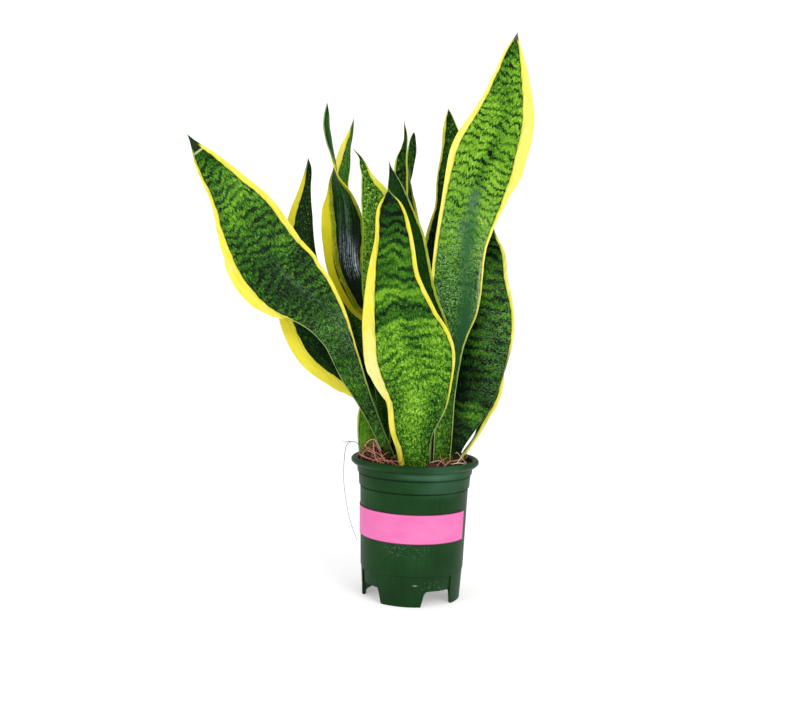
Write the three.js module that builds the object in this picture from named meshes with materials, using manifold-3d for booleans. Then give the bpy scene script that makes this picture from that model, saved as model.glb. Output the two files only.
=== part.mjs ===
// A snake plant in its nursery pot: sword-shaped leaves with waved yellow margins stand in plain sockets
// in a bed of coir soil, and the soil fills a slim ridged plastic pot with a plain label band.
// Millimetres, +Z up. The plant is drawn round the pot's axis with -Y to the front, and the finished group
// is then moved so that the middle of its own footprint is the origin.
import * as THREE from "three";
import { mergeVertices } from "three/addons/utils/BufferGeometryUtils.js";
import Module from "manifold-3d";

// ---- driving dimensions -------------------------------------------------------------------------------
const POT_HEIGHT = 112;
const RIM_RADIUS = 51.5; // outside of the rolled rim
const FOOT_RADIUS = 39.4;
const WALL = 1.8; // of the body; above it the wall thins towards the rim
const SKIRT_WALL = 3; // below the body the wall is thicker, so that panels can be sunk into it
const SKIRT_TOP = 24;
const FLOOR_TOP = 15.5;
const FLOOR_BOTTOM = 13;
const ROUND_STEPS = 52; // facets round the pot, its soil and its label
const DRAIN_RADIUS = 3;
const DRAIN_RING = 20; // radius of the ring of drain holes
const DRAIN_COUNT = 6;
const FEET = 4; // arches cut the skirt into this many feet
const ARCH_TURN = 32; // degrees from the front to the middle of the first arch
const ARCH_HEIGHT = 12;
const ARCH_FOOT_WIDTH = 29; // an arch is wider where it meets the ground
const ARCH_TOP_WIDTH = 24.5;
const ARCH_REACH = 26; // how far in from the outside an arch is cut
const PANEL_TOP = 22.5; // the sunk panel above each arch
const PANEL_DEPTH = 1.2;

// The pot's outside, [radius, height] from the ground up: skirt, body, two stepped rings and the rolled rim.
const POT_OUTSIDE = [
  [FOOT_RADIUS, 0],
  [40.9, SKIRT_TOP],
  [41.4, SKIRT_TOP + 0.6],
  [43.6, 89],
  [44.6, 89.8],
  [45.2, 99.4],
  [46.2, 100.2],
  [46.6, 105],
  [49.4, 106.4],
  [RIM_RADIUS, 108.4],
  [RIM_RADIUS, 110.4],
  [50.2, 111.8],
  [48.2, POT_HEIGHT],
  [46.4, 110.6],
];

const GAP = 0.35; // clear space between two pieces that touch
const LABEL_BOTTOM = 50;
const LABEL_TOP = 73.4;
const LABEL_THICK = 0.35;
const LABEL_GAP = 0.2; // the label stands off the wall by this, as a film does
const LABEL_TURN = -24; // degrees from the front to the middle of the label, which wraps half the pot

const SOIL_TOP = 107.6; // at the wall
const SOIL_EDGE = 3; // the bed rounds off over this height at the wall
const SOIL_RINGS = 7;
const SOIL_MOUND = 1.6; // the bed rises this much towards the middle
const SOIL_LUMP = 0.9; // and its lumps stand this high

const LEAF_STEPS = 18; // lengths of blade between root and tip
const LEAF_SPANS = 4; // strips across a blade
const MARGIN_THICK = 1.0;
const RIB_THICK_ROOT = 5.2;
const RIB_THICK_BLADE = 2.6;
const ROOT_SHARE = 0.22; // the stalk-like share of a leaf, where it is thick and channelled
const SOCKET_STEPS = 3; // the lowest steps of each leaf, which shape its socket in the soil
const CALM_ROOT = 0.3; // the margins don't swing at the root, and swing in full past this share
const CALM_TIP = 0.15; // nor do they at the tip
const LEFT_LAG = 2.1; // radians by which the left margin swings out of step with the right one

// Each leaf's rows run from root to tip: [x, y, z, width, turn]. The first three are a point of its middle
// line, width is across the blade there, and turn is the blade's turn about its own line in degrees (0 faces
// the front, and a positive turn takes the right margin back). cup is how deep the channel is, as a share of
// the width, at the root and in the blade: positive opens to the front. wave is how far the margins swing,
// swings is how many times they do along the leaf, and phase is where they begin.
const LEAVES = {
  leaf_front: {
    rows: [
      [-0.3, -30, 92, 20.9, 0], [-2.1, -31, 118, 24.5, 0], [-3.6, -33, 139, 35.8, 2],
      [-0.6, -36, 162, 50.5, 4], [-4.2, -40, 185, 66.6, 8], [-8.6, -42, 200, 68.9, 8],
      [-15.9, -45, 223, 58.2, 8], [-21.6, -48, 253, 41.7, 6], [-22.4, -49, 283, 29.4, 2],
      [-26.1, -48, 307, 20.2, 0], [-28.1, -46, 322, 0, 0],
    ],
    cup: [-0.16, -0.05],
    wave: 2.4,
    swings: 2.4,
    phase: 0.4,
  },
  leaf_left: {
    rows: [
      [-13.5, -7, 92, 9.2, -10], [-19.9, -8, 111, 9.2, -10], [-30.8, -9, 135, 9.2, -10],
      [-41.9, -10, 158, 12.8, -12], [-53, -12, 181, 21, -14], [-62.7, -14, 204.1, 27.6, -16],
      [-74.2, -16, 222.6, 39, -18], [-88.1, -18, 237.9, 52.6, -18], [-102.3, -20, 248.5, 66.4, -18],
      [-117.8, -22, 263.1, 70.9, -18], [-127.3, -24, 280.1, 65.3, -16], [-138.5, -25.9, 300, 55.2, -15],
      [-151.6, -28, 319, 36.4, -14], [-167.8, -32, 339.4, 20, -10], [-182.5, -36, 359, 0, -8],
    ],
    cup: [0.3, 0.08],
    wave: 2.4,
    swings: 2.6,
    phase: 2.2,
  },
  leaf_tall: {
    rows: [
      [21, 1, 92, 14, 0], [22, 1, 134, 15, 2], [22, 2, 167, 18, 6], [23, 2, 203, 26, 12],
      [27.3, 1, 239, 43.5, 18], [29.8, -1, 283, 47.5, 20], [37.4, -5, 319, 54.9, 20],
      [47, -9, 350, 62.7, 18], [59.6, -13, 381, 51.7, 14], [63.8, -18, 411, 31.8, 8],
      [64.8, -20, 430, 17, 4], [67.2, -23, 447, 0, 0],
    ],
    cup: [0.3, 0.09],
    wave: 2.8,
    swings: 2.5,
    phase: 4.4,
  },
  leaf_right: {
    rows: [
      [27, 11, 92, 10, 14], [32, 12, 118, 14.2, 6], [38, 14, 137, 23.9, 0], [43, 17, 158, 39.9, -10],
      [46.9, 20, 187, 51.7, -18], [50.5, 22, 220, 55.8, -20], [51.5, 25, 253, 45, -20],
      [57.6, 28, 278, 25.8, -16], [59.4, 30, 300, 0, -12],
    ],
    cup: [-0.16, -0.07],
    wave: 2,
    swings: 2.4,
    phase: 1.2,
  },
  leaf_right_back: {
    rows: [
      [28, 17, 92, 4.5, 0], [39.2, 18, 111, 3.5, 0], [51.1, 24, 128, 4.1, 4], [56.6, 29, 144, 10.8, 8],
      [61.6, 33, 158, 17, 12], [62.6, 36, 173, 23.2, 14], [60, 42, 202, 27, 14], [57, 47, 240, 20, 10],
      [55.4, 50, 272, 0, 6],
    ],
    cup: [-0.12, -0.08],
    wave: 1,
    swings: 2,
    phase: 3,
  },
  leaf_far_left: {
    rows: [
      [-34, 4, 92, 16, 0], [-37.8, 5, 119, 17.4, 0], [-39.7, 7, 140, 16.5, 2], [-39.8, 9, 156, 14.5, 6],
      [-48, 11, 169, 27, 10], [-58.7, 12, 180, 38.4, 12], [-77.6, 13, 202, 52.2, 14],
      [-90, 14, 230, 53, 14], [-97.5, 15, 252, 37, 14], [-100.6, 17, 280, 26.8, 14],
      [-99.5, 20, 305, 19, 16], [-97.1, 23, 325, 10.2, 18], [-95, 26, 343, 5.4, 18],
      [-96.1, 29, 353, 0, 18],
    ],
    cup: [-0.14, -0.06],
    wave: 1.6,
    swings: 2,
    phase: 5,
  },
  leaf_twisted: {
    rows: [
      [-16, 13, 92, 12, 0], [-15, 12, 156, 16, 0], [-27.8, 11, 197, 21.5, 0], [-37.3, 10, 223, 19.6, 0],
      [-50.3, 9, 237, 21.6, 0], [-61.3, 8, 261, 28.3, 0], [-63.8, 7, 285, 33.5, 0],
      [-64.8, 6, 301, 33.5, -4], [-66.8, 4, 318, 30.5, -32], [-70.8, 3, 332, 22.5, -60],
      [-72, 2, 344, 15, -88], [-74.5, 0, 355, 12, -106], [-78.2, -2, 371, 10.1, -122],
      [-78.8, -4, 382, 6.5, -126], [-79, -6, 392, 0, -128],
    ],
    cup: [0.22, 0.1],
    wave: 0.8,
    swings: 2,
    phase: 1,
  },
  leaf_back_left: {
    rows: [
      [-22, 26, 92, 12, 10], [-29, 27, 146, 15, 12], [-46, 29, 204, 21, 16], [-60.2, 32, 261, 23.5, 20],
      [-66, 36, 311, 19, 24], [-69.7, 39, 332, 16.6, 26], [-67.6, 41, 349, 13.8, 26],
      [-65.8, 43, 363, 10.2, 26], [-62.9, 44, 374, 5.9, 24], [-61.3, 46, 382, 2.5, 22],
      [-60.2, 48, 390, 0, 20],
    ],
    cup: [-0.2, -0.12],
    wave: 0.8,
    swings: 2,
    phase: 2,
  },
  leaf_inner_left: {
    rows: [
      [-6, -15, 92, 10, 0], [-13, -14, 139, 13, 0], [-22, -13, 190, 26, 4], [-30, -12, 238, 31, 8],
      [-32, -11, 261, 32, 10], [-34, -9, 293, 29, 12], [-38.2, -7, 316, 24.7, 14],
      [-43.2, -5, 329, 14.7, 14], [-46.2, -4, 337, 8.6, 14], [-49.3, -3, 344, 6.2, 10],
      [-51.8, -2, 350, 2.4, 8], [-58.6, 0, 358, 0, 6],
    ],
    cup: [0.2, 0.1],
    wave: 1.2,
    swings: 2.2,
    phase: 0,
  },
  leaf_inner_right: {
    rows: [
      [7, -18, 92, 12, 0], [4, -20, 136, 17, 0], [4, -22, 176, 40, -6], [0, -23, 207, 50, -8],
      [-6, -24, 238, 39, -10], [-9.2, -24, 258, 34.5, -12], [-12.8, -25, 285, 29.5, -14],
      [-16.3, -26, 301, 22.4, -14], [-20, -27, 315, 17, -12], [-23.1, -28, 325, 12.5, -10],
      [-25.2, -29, 333, 6.3, -6], [-27, -30, 339, 2, 0], [-28.8, -31, 346, 0, 0],
    ],
    cup: [0.12, 0.05],
    wave: 1.4,
    swings: 2.4,
    phase: 3.6,
  },
  leaf_slim_left: {
    rows: [
      [-3, 19, 92, 11, -30], [-8, 20, 172, 17, -34], [-14, 20, 238, 20, -38], [-17, 20, 287, 18, -40],
      [-18, 21, 320, 14, -40], [-18.2, 22, 334, 14.4, -40], [-18.4, 23, 352, 11.7, -40],
      [-16.6, 24, 362, 7.7, -40], [-15.9, 25, 371, 4.6, -40], [-18, 27, 385, 0, -40],
    ],
    cup: [0.2, 0.1],
    wave: 0.8,
    swings: 2,
    phase: 4,
  },
  leaf_slim_right: {
    rows: [
      [8, 26, 92, 12, 0], [5, 26, 172, 20, 0], [-1, 28, 230, 22, -6], [-7, 30, 280, 20, -22],
      [-10.5, 31, 311, 15, -50], [-11.8, 32, 324, 12.4, -70], [-12, 33, 334, 12, -92],
      [-11.7, 34, 346, 11, -112], [-11.2, 36, 357, 9.6, -126], [-10.6, 38, 368, 7.4, -138],
      [-9.7, 39, 375, 4, -144], [-9.4, 40, 378, 0, -148],
    ],
    cup: [-0.16, -0.08],
    wave: 0.8,
    swings: 2,
    phase: 5.4,
  },
  leaf_back: {
    rows: [
      [18, 31.5, 92, 12, 0], [17, 36, 155, 22, -6], [11.5, 39, 205, 33, -10], [11.8, 42, 251, 35.2, -14],
      [18.1, 46, 293, 30.2, -16], [23.3, 49, 319, 27.6, -16], [24.4, 52, 345, 27.9, -16],
      [24.5, 55, 366, 21.4, -14], [21.7, 57, 383, 13.5, -10], [20.3, 58, 394, 6.8, -6],
      [19, 60, 403, 0, 0],
    ],
    cup: [-0.16, -0.07],
    wave: 1.2,
    swings: 2.2,
    phase: 0.8,
  },
};

// ---- materials ----------------------------------------------------------------------------------------
const finish = (color, roughness) => new THREE.MeshStandardMaterial({ color, roughness, metalness: 0 });
const leafGreen = finish(0x3f7a2a, 0.42);
const potGreen = finish(0x2a5a34, 0.45);
const soilBrown = finish(0x4a2a1e, 0.95);
const labelPink = finish(0xf77fc6, 0.5);

// ---- solids -------------------------------------------------------------------------------------------
const mix = THREE.MathUtils.lerp;
const toRadians = THREE.MathUtils.degToRad;
const ease = (value) => THREE.MathUtils.smoothstep(value, 0, 1);

const wasm = await Module();
wasm.setup();

function toSolid(geometry) {
  const bare = geometry.clone();
  bare.deleteAttribute("normal");
  bare.deleteAttribute("uv");
  const merged = mergeVertices(bare, 1e-4);
  return new wasm.Manifold(
    new wasm.Mesh({
      numProp: 3,
      vertProperties: merged.attributes.position.array,
      triVerts: new Uint32Array(merged.index.array),
    }),
  );
}

function toGeometry(solid) {
  const mesh = solid.getMesh();
  const geometry = new THREE.BufferGeometry();
  geometry.setAttribute("position", new THREE.BufferAttribute(mesh.vertProperties, 3));
  geometry.setIndex(new THREE.BufferAttribute(mesh.triVerts, 1));
  geometry.computeVertexNormals();
  return geometry;
}

const piece = (name, geometry, material) => {
  const mesh = new THREE.Mesh(geometry, material);
  mesh.name = name;
  return mesh;
};

// A profile of [radius, height] points turned about +Z, starting at the front.
function turned(profile) {
  const points = profile.map(([radius, height]) => new THREE.Vector2(radius, height));
  return new THREE.LatheGeometry(points, ROUND_STEPS).rotateX(Math.PI / 2);
}

// ---- pot ----------------------------------------------------------------------------------------------
const between = (profile, height) => {
  const above = Math.max(1, profile.findIndex(([, z]) => z > height));
  const [r0, z0] = profile[above - 1];
  const [r1, z1] = profile[above];
  return mix(r0, r1, (height - z0) / (z1 - z0));
};
const outsideRadius = (height) => between(POT_OUTSIDE, height);

// The inside from the floor up to just below the rim.
const POT_INSIDE = [
  [outsideRadius(FLOOR_TOP) - SKIRT_WALL, FLOOR_TOP],
  [outsideRadius(SKIRT_TOP + 6) - WALL, SKIRT_TOP + 6],
  [42.6, 86],
  [45.5, 105],
];

const potShell = () =>
  turned([
    [0, FLOOR_BOTTOM],
    [outsideRadius(FLOOR_BOTTOM) - SKIRT_WALL, FLOOR_BOTTOM],
    [FOOT_RADIUS - SKIRT_WALL, 0],
    ...POT_OUTSIDE,
    ...POT_INSIDE.toReversed(),
    [0, FLOOR_TOP],
  ]);

// One arch through the skirt, and the panel sunk into the wall above it.
function archCut(turn) {
  const arch = new THREE.Shape([
    new THREE.Vector2(-ARCH_FOOT_WIDTH / 2, -1),
    new THREE.Vector2(ARCH_FOOT_WIDTH / 2, -1),
    new THREE.Vector2(ARCH_TOP_WIDTH / 2, ARCH_HEIGHT),
    new THREE.Vector2(-ARCH_TOP_WIDTH / 2, ARCH_HEIGHT),
  ]);
  const opening = new THREE.ExtrudeGeometry(arch, { depth: ARCH_REACH, bevelEnabled: false });
  opening.rotateX(Math.PI / 2).translate(0, ARCH_REACH - RIM_RADIUS, 0).rotateZ(turn);
  const panelRing = turned([
    [outsideRadius(ARCH_HEIGHT) - PANEL_DEPTH, ARCH_HEIGHT - 1],
    [RIM_RADIUS, ARCH_HEIGHT - 1],
    [RIM_RADIUS, PANEL_TOP],
    [outsideRadius(PANEL_TOP) - PANEL_DEPTH, PANEL_TOP],
    [outsideRadius(ARCH_HEIGHT) - PANEL_DEPTH, ARCH_HEIGHT - 1],
  ]);
  const panelWidth = new THREE.BoxGeometry(ARCH_TOP_WIDTH, RIM_RADIUS, POT_HEIGHT);
  panelWidth.translate(0, -RIM_RADIUS / 2 - 1, POT_HEIGHT / 2).rotateZ(turn);
  return toSolid(opening).add(toSolid(panelRing).intersect(toSolid(panelWidth)));
}

function pot() {
  let solid = toSolid(potShell());
  for (let foot = 0; foot < FEET; foot += 1) {
    solid = solid.subtract(archCut(toRadians(ARCH_TURN + (foot * 360) / FEET)));
  }
  for (let hole = 0; hole < DRAIN_COUNT; hole += 1) {
    const turn = toRadians(((hole + 0.5) * 360) / DRAIN_COUNT);
    const drain = new THREE.CylinderGeometry(DRAIN_RADIUS, DRAIN_RADIUS, FLOOR_TOP, 12).rotateX(Math.PI / 2);
    drain.translate(DRAIN_RING * Math.cos(turn), DRAIN_RING * Math.sin(turn), FLOOR_TOP);
    solid = solid.subtract(toSolid(drain));
  }
  return toGeometry(solid);
}

// ---- label --------------------------------------------------------------------------------------------
function label() {
  const inner = (height) => outsideRadius(height) + LABEL_GAP;
  const ring = turned([
    [inner(LABEL_BOTTOM), LABEL_BOTTOM],
    [inner(LABEL_BOTTOM) + LABEL_THICK, LABEL_BOTTOM],
    [inner(LABEL_TOP) + LABEL_THICK, LABEL_TOP],
    [inner(LABEL_TOP), LABEL_TOP],
    [inner(LABEL_BOTTOM), LABEL_BOTTOM],
  ]);
  const half = new THREE.BoxGeometry(3 * RIM_RADIUS, RIM_RADIUS, POT_HEIGHT);
  half.translate(0, -RIM_RADIUS / 2, POT_HEIGHT / 2).rotateZ(toRadians(LABEL_TURN));
  return toGeometry(toSolid(ring).intersect(toSolid(half)));
}

// ---- leaves -------------------------------------------------------------------------------------------
// The corners of one cross-section at t along a leaf: its front face from left to right, then its back face.
function section(leaf, line, form, t, grow) {
  const middle = line.getPoint(t);
  const along = line.getTangent(t);
  if (t === 0) middle.addScaledVector(along, -grow);
  const { x: width, y: degrees } = form.getPoint(t);
  const turn = toRadians(degrees);
  const level = new THREE.Vector3(1, 0, 0).projectOnPlane(along).normalize();
  const ahead = level.clone().cross(along).normalize();
  const across = level.clone().multiplyScalar(Math.cos(turn)).addScaledVector(ahead, -Math.sin(turn));
  const face = ahead.clone().multiplyScalar(Math.cos(turn)).addScaledVector(level, Math.sin(turn));

  const stalk = 1 - ease(t / ROOT_SHARE);
  const cup = mix(leaf.cup[1], leaf.cup[0], stalk);
  const rib = mix(mix(RIB_THICK_BLADE, MARGIN_THICK, t), RIB_THICK_ROOT, stalk);
  const wave = leaf.wave * ease(t / CALM_ROOT) * ease((1 - t) / CALM_TIP);
  const corners = [];
  for (const side of [1, -1]) {
    for (let column = 0; column <= LEAF_SPANS; column += 1) {
      const share = (2 * column) / LEAF_SPANS - 1;
      const edge = share * share;
      const swing = Math.sin(2 * Math.PI * leaf.swings * t + leaf.phase + (share < 0 ? LEFT_LAG : 0));
      const lift = cup * width * (edge - 1 / 3) + wave * swing * edge;
      const thick = mix(rib, MARGIN_THICK, edge) / 2 + grow;
      const corner = middle.clone().addScaledVector(across, (width / 2 + grow) * share);
      corners.push(corner.addScaledVector(face, lift + side * thick));
    }
  }
  return corners;
}

// A leaf's blade as one closed solid. grow makes it fatter all round, and steps stops it short of the tip.
function blade(leaf, grow = 0, steps = LEAF_STEPS) {
  const points = leaf.rows.map(([x, y, z]) => new THREE.Vector3(x, y, z));
  const line = new THREE.CatmullRomCurve3(points, false, "catmullrom", 0.5);
  const form = new THREE.SplineCurve(leaf.rows.map(([, , , width, turn]) => new THREE.Vector2(width, turn)));
  const whole = steps === LEAF_STEPS;
  const top = whole ? steps - 1 : steps;
  const corners = [];
  for (let row = 0; row <= top; row += 1) {
    corners.push(...section(leaf, line, form, row / LEAF_STEPS, grow));
  }

  const faces = [];
  const at = (row, side, column) => (2 * row + side) * (LEAF_SPANS + 1) + column;
  const quad = (a, b, c, d) => faces.push(a, b, c, a, c, d);
  for (let row = 0; row < top; row += 1) {
    for (let column = 0; column < LEAF_SPANS; column += 1) {
      const next = column + 1;
      quad(at(row, 0, column), at(row, 0, next), at(row + 1, 0, next), at(row + 1, 0, column));
      quad(at(row + 1, 1, next), at(row, 1, next), at(row, 1, column), at(row + 1, 1, column));
    }
    const right = LEAF_SPANS;
    quad(at(row, 0, right), at(row, 1, right), at(row + 1, 1, right), at(row + 1, 0, right));
    quad(at(row, 1, 0), at(row, 0, 0), at(row + 1, 0, 0), at(row + 1, 1, 0));
  }
  for (let column = 0; column < LEAF_SPANS; column += 1) {
    quad(at(0, 1, column), at(0, 1, column + 1), at(0, 0, column + 1), at(0, 0, column));
  }
  if (whole) {
    const tip = corners.push(line.getPoint(1)) - 1;
    for (let column = 0; column < LEAF_SPANS; column += 1) {
      faces.push(at(top, 0, column), at(top, 0, column + 1), tip);
      faces.push(at(top, 1, column + 1), at(top, 1, column), tip);
    }
    faces.push(at(top, 0, LEAF_SPANS), at(top, 1, LEAF_SPANS), tip);
    faces.push(at(top, 1, 0), at(top, 0, 0), tip);
  } else {
    for (let column = 0; column < LEAF_SPANS; column += 1) {
      quad(at(top, 0, column), at(top, 0, column + 1), at(top, 1, column + 1), at(top, 1, column));
    }
  }
  const geometry = new THREE.BufferGeometry().setFromPoints(corners).setIndex(faces);
  geometry.computeVertexNormals();
  return geometry;
}

// ---- soil ---------------------------------------------------------------------------------------------
// The bed fills the pot from floor to rim, with a gently mounded, lumpy top and a socket for each leaf.
const soilLump = (x, y) =>
  SOIL_LUMP * (Math.sin(x * 0.31 + 1.3) * Math.cos(y * 0.27) + 0.6 * Math.sin(x * 0.13 - y * 0.41 + 0.5));

function soil() {
  const wall = (height) => [between(POT_INSIDE, height) - GAP, height];
  const side = [FLOOR_TOP + GAP, POT_INSIDE[1][1], POT_INSIDE[2][1], SOIL_TOP - SOIL_EDGE].map(wall);
  const edge = side.at(-1)[0];
  const crown = [];
  for (let ring = SOIL_RINGS - 1; ring >= 0; ring -= 1) {
    const share = ring / SOIL_RINGS;
    crown.push([edge * share, SOIL_TOP + SOIL_MOUND * (1 - share * share)]);
  }
  const bed = turned([[0, FLOOR_TOP + GAP], ...side, ...crown]);
  const place = bed.attributes.position;
  for (let i = 0; i < place.count; i += 1) {
    const height = place.getZ(i);
    if (height >= SOIL_TOP) place.setZ(i, height + soilLump(place.getX(i), place.getY(i)));
  }
  let solid = toSolid(bed);
  for (const leaf of Object.values(LEAVES)) {
    solid = solid.subtract(toSolid(blade(leaf, GAP, SOCKET_STEPS)));
  }
  return toGeometry(solid);
}

// ---- the whole plant ----------------------------------------------------------------------------------
const plant = new THREE.Group();
plant.add(piece("pot", pot(), potGreen));
plant.add(piece("label", label(), labelPink));
plant.add(piece("soil", soil(), soilBrown));
for (const [name, leaf] of Object.entries(LEAVES)) {
  plant.add(piece(name, blade(leaf), leafGreen));
}

const reach = new THREE.Box3().setFromObject(plant);
const middle = reach.getCenter(new THREE.Vector3());
plant.position.set(-middle.x, -middle.y, -reach.min.z);

export default plant;
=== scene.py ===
import math

import bmesh
import bpy
from mathutils import Matrix, Vector, noise


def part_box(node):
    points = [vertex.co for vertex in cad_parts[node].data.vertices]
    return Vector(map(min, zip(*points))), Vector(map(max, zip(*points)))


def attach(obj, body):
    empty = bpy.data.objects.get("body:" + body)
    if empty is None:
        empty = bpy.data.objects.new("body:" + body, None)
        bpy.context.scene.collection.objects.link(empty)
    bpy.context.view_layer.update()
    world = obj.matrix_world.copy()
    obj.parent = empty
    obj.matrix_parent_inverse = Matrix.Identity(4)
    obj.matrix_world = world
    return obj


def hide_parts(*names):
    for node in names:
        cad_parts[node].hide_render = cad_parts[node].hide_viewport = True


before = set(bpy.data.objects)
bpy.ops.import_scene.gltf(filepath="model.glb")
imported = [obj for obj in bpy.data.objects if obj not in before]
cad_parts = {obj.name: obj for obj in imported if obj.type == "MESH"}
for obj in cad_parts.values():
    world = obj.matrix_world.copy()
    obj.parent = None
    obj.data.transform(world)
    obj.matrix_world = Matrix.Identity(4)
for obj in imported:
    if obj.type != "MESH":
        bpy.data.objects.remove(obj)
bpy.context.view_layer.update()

mm = 0.001
potLow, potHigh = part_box("pot")
potAxis = Vector(((potLow.x + potHigh.x) / 2, (potLow.y + potHigh.y) / 2, 0))
print("frame loaded, the pot stands at", tuple(round(v, 4) for v in potAxis))


def lerp(a, b, share):
    return a + (b - a) * share


def clamp(value):
    return max(0.0, min(1.0, value))


def ease(value):
    share = clamp(value)
    return share * share * (3 - 2 * share)


def linear(colour):
    # a colour as the eye names it, 0 to 255, made linear for the shaders; one of four numbers is so already
    if len(colour) == 4:
        return colour
    result = []
    for part in colour:
        share = part / 255
        result.append(share / 12.92 if share <= 0.04045 else ((share + 0.055) / 1.055) ** 2.4)
    return (*result, 1.0)


def mathsNode(operation):
    # a method of Wire that adds one Math node
    def method(wire, *others):
        return wire.tree.add("ShaderNodeMath", {"operation": operation}, dict(enumerate((wire, *others))))

    return method


class Wire:
    # wraps one output socket, so that values in a tree are added and multiplied as in plain Python
    def __init__(self, tree, socket):
        self.tree = tree
        self.socket = socket

    __add__ = __radd__ = mathsNode("ADD")
    __sub__ = mathsNode("SUBTRACT")
    __mul__ = __rmul__ = mathsNode("MULTIPLY")
    __truediv__ = mathsNode("DIVIDE")
    least, most = mathsNode("MINIMUM"), mathsNode("MAXIMUM")
    size, sine = mathsNode("ABSOLUTE"), mathsNode("SINE")

    def __rsub__(self, other):
        return self.tree.add("ShaderNodeMath", {"operation": "SUBTRACT"}, {0: other, 1: self})

    def rise(self, low, high):
        # 0 below low, 1 above high, smooth between; it falls if low is the higher one
        values = {"Value": self, "From Min": min(low, high), "From Max": max(low, high)}
        grown = self.tree.add("ShaderNodeMapRange", {"interpolation_type": "SMOOTHSTEP"}, values)
        return grown if low < high else 1 - grown

    def hump(self, centre, width):
        # 1 at the centre, falling to 0 a width away on either side
        return (self - centre).size().rise(width, 0)


class Tree:
    # the nodes of one material, world or Geometry Nodes group
    def __init__(self, tree):
        self.tree = tree

    def add(self, kind, settings=None, values=None, output=0):
        node = self.tree.nodes.new(kind)
        for key, value in (settings or {}).items():
            if key == "stops":
                self.setStops(node.color_ramp.elements, value)
            else:
                setattr(node, key, value)
        for key, value in (values or {}).items():
            self.put(node.inputs[key], value)
        if output is not None:
            return Wire(self, node.outputs[output])

    def setStops(self, ramp, stops):
        while len(ramp) < len(stops):
            ramp.new(1.0)
        for element, (place, colour) in zip(ramp, stops):
            element.position = place
            element.color = linear(colour)

    def put(self, socket, value):
        if isinstance(value, Wire):
            self.tree.links.new(value.socket, socket)
        else:
            socket.default_value = linear(value) if socket.type == "RGBA" else value

    def vector(self, x, y, z=0.0):
        return self.add("ShaderNodeCombineXYZ", None, {0: x, 1: y, 2: z})

    def part(self, vector, axis):
        return self.add("ShaderNodeSeparateXYZ", None, {0: vector}, output=axis)

    def join(self, operation, first, second, output=0):
        # first and second are vectors, or a vector and a factor for SCALE
        values = {0: first, "Scale" if operation == "SCALE" else 1: second}
        return self.add("ShaderNodeVectorMath", {"operation": operation}, values, output)

    def noise(self, vector, scale=1.0, detail=2.0, roughness=0.5, output=0):
        values = {"Vector": vector, "Scale": scale, "Detail": detail, "Roughness": roughness}
        return self.add("ShaderNodeTexNoise", None, values, output)


class Paint(Tree):
    # one material, whose shader is fed by the nodes added here
    def __init__(self, name):
        self.material = bpy.data.materials.new(name)
        self.material.use_nodes = True
        super().__init__(self.material.node_tree)

    def finish(self, values):
        shader = self.tree.nodes["Principled BSDF"]
        for key, value in values.items():
            self.put(shader.inputs[key], value)
        return self.material

    def attribute(self, name):
        return self.add("ShaderNodeAttribute", {"attribute_name": name}, output="Fac")

    def millimetres(self):
        # the place on the piece, in mm from the foot of the pot's axis
        place = self.add("ShaderNodeTexCoord", output="Object")
        return self.join("SCALE", self.join("SUBTRACT", place, potAxis), 1 / mm)

    def blend(self, factor, first, second):
        return self.add("ShaderNodeMix", {"data_type": "RGBA"}, {0: factor, 6: first, 7: second}, 2)

    def ramp(self, factor, stops):
        return self.add("ShaderNodeValToRGB", {"stops": stops}, {0: factor})

    def bump(self, height, distance):
        return self.add("ShaderNodeBump", None, {"Height": height, "Distance": distance, "Strength": 1.0})


def putInScene(name, data):
    thing = bpy.data.objects.new(name, data)
    bpy.context.scene.collection.objects.link(thing)
    return thing


def plainMesh(holder, name):
    # what an object's modifiers make of it; the object itself goes
    graph = bpy.context.evaluated_depsgraph_get()
    mesh = bpy.data.meshes.new_from_object(holder.evaluated_get(graph))
    mesh.name = name
    bpy.data.objects.remove(holder)
    return mesh


def placePiece(mesh, material, node=None, sharpAngle=None):
    piece = putInScene(mesh.name, mesh)
    mesh.materials.clear()
    mesh.materials.append(material)
    mesh.shade_smooth()
    if sharpAngle:
        mesh.set_sharp_from_angle(angle=math.radians(sharpAngle))
    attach(piece, "root")
    if node:
        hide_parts(node)


def setValues(mesh, name, values):
    mesh.attributes.new(name, "FLOAT", "POINT").data.foreach_set("value", values)


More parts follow.
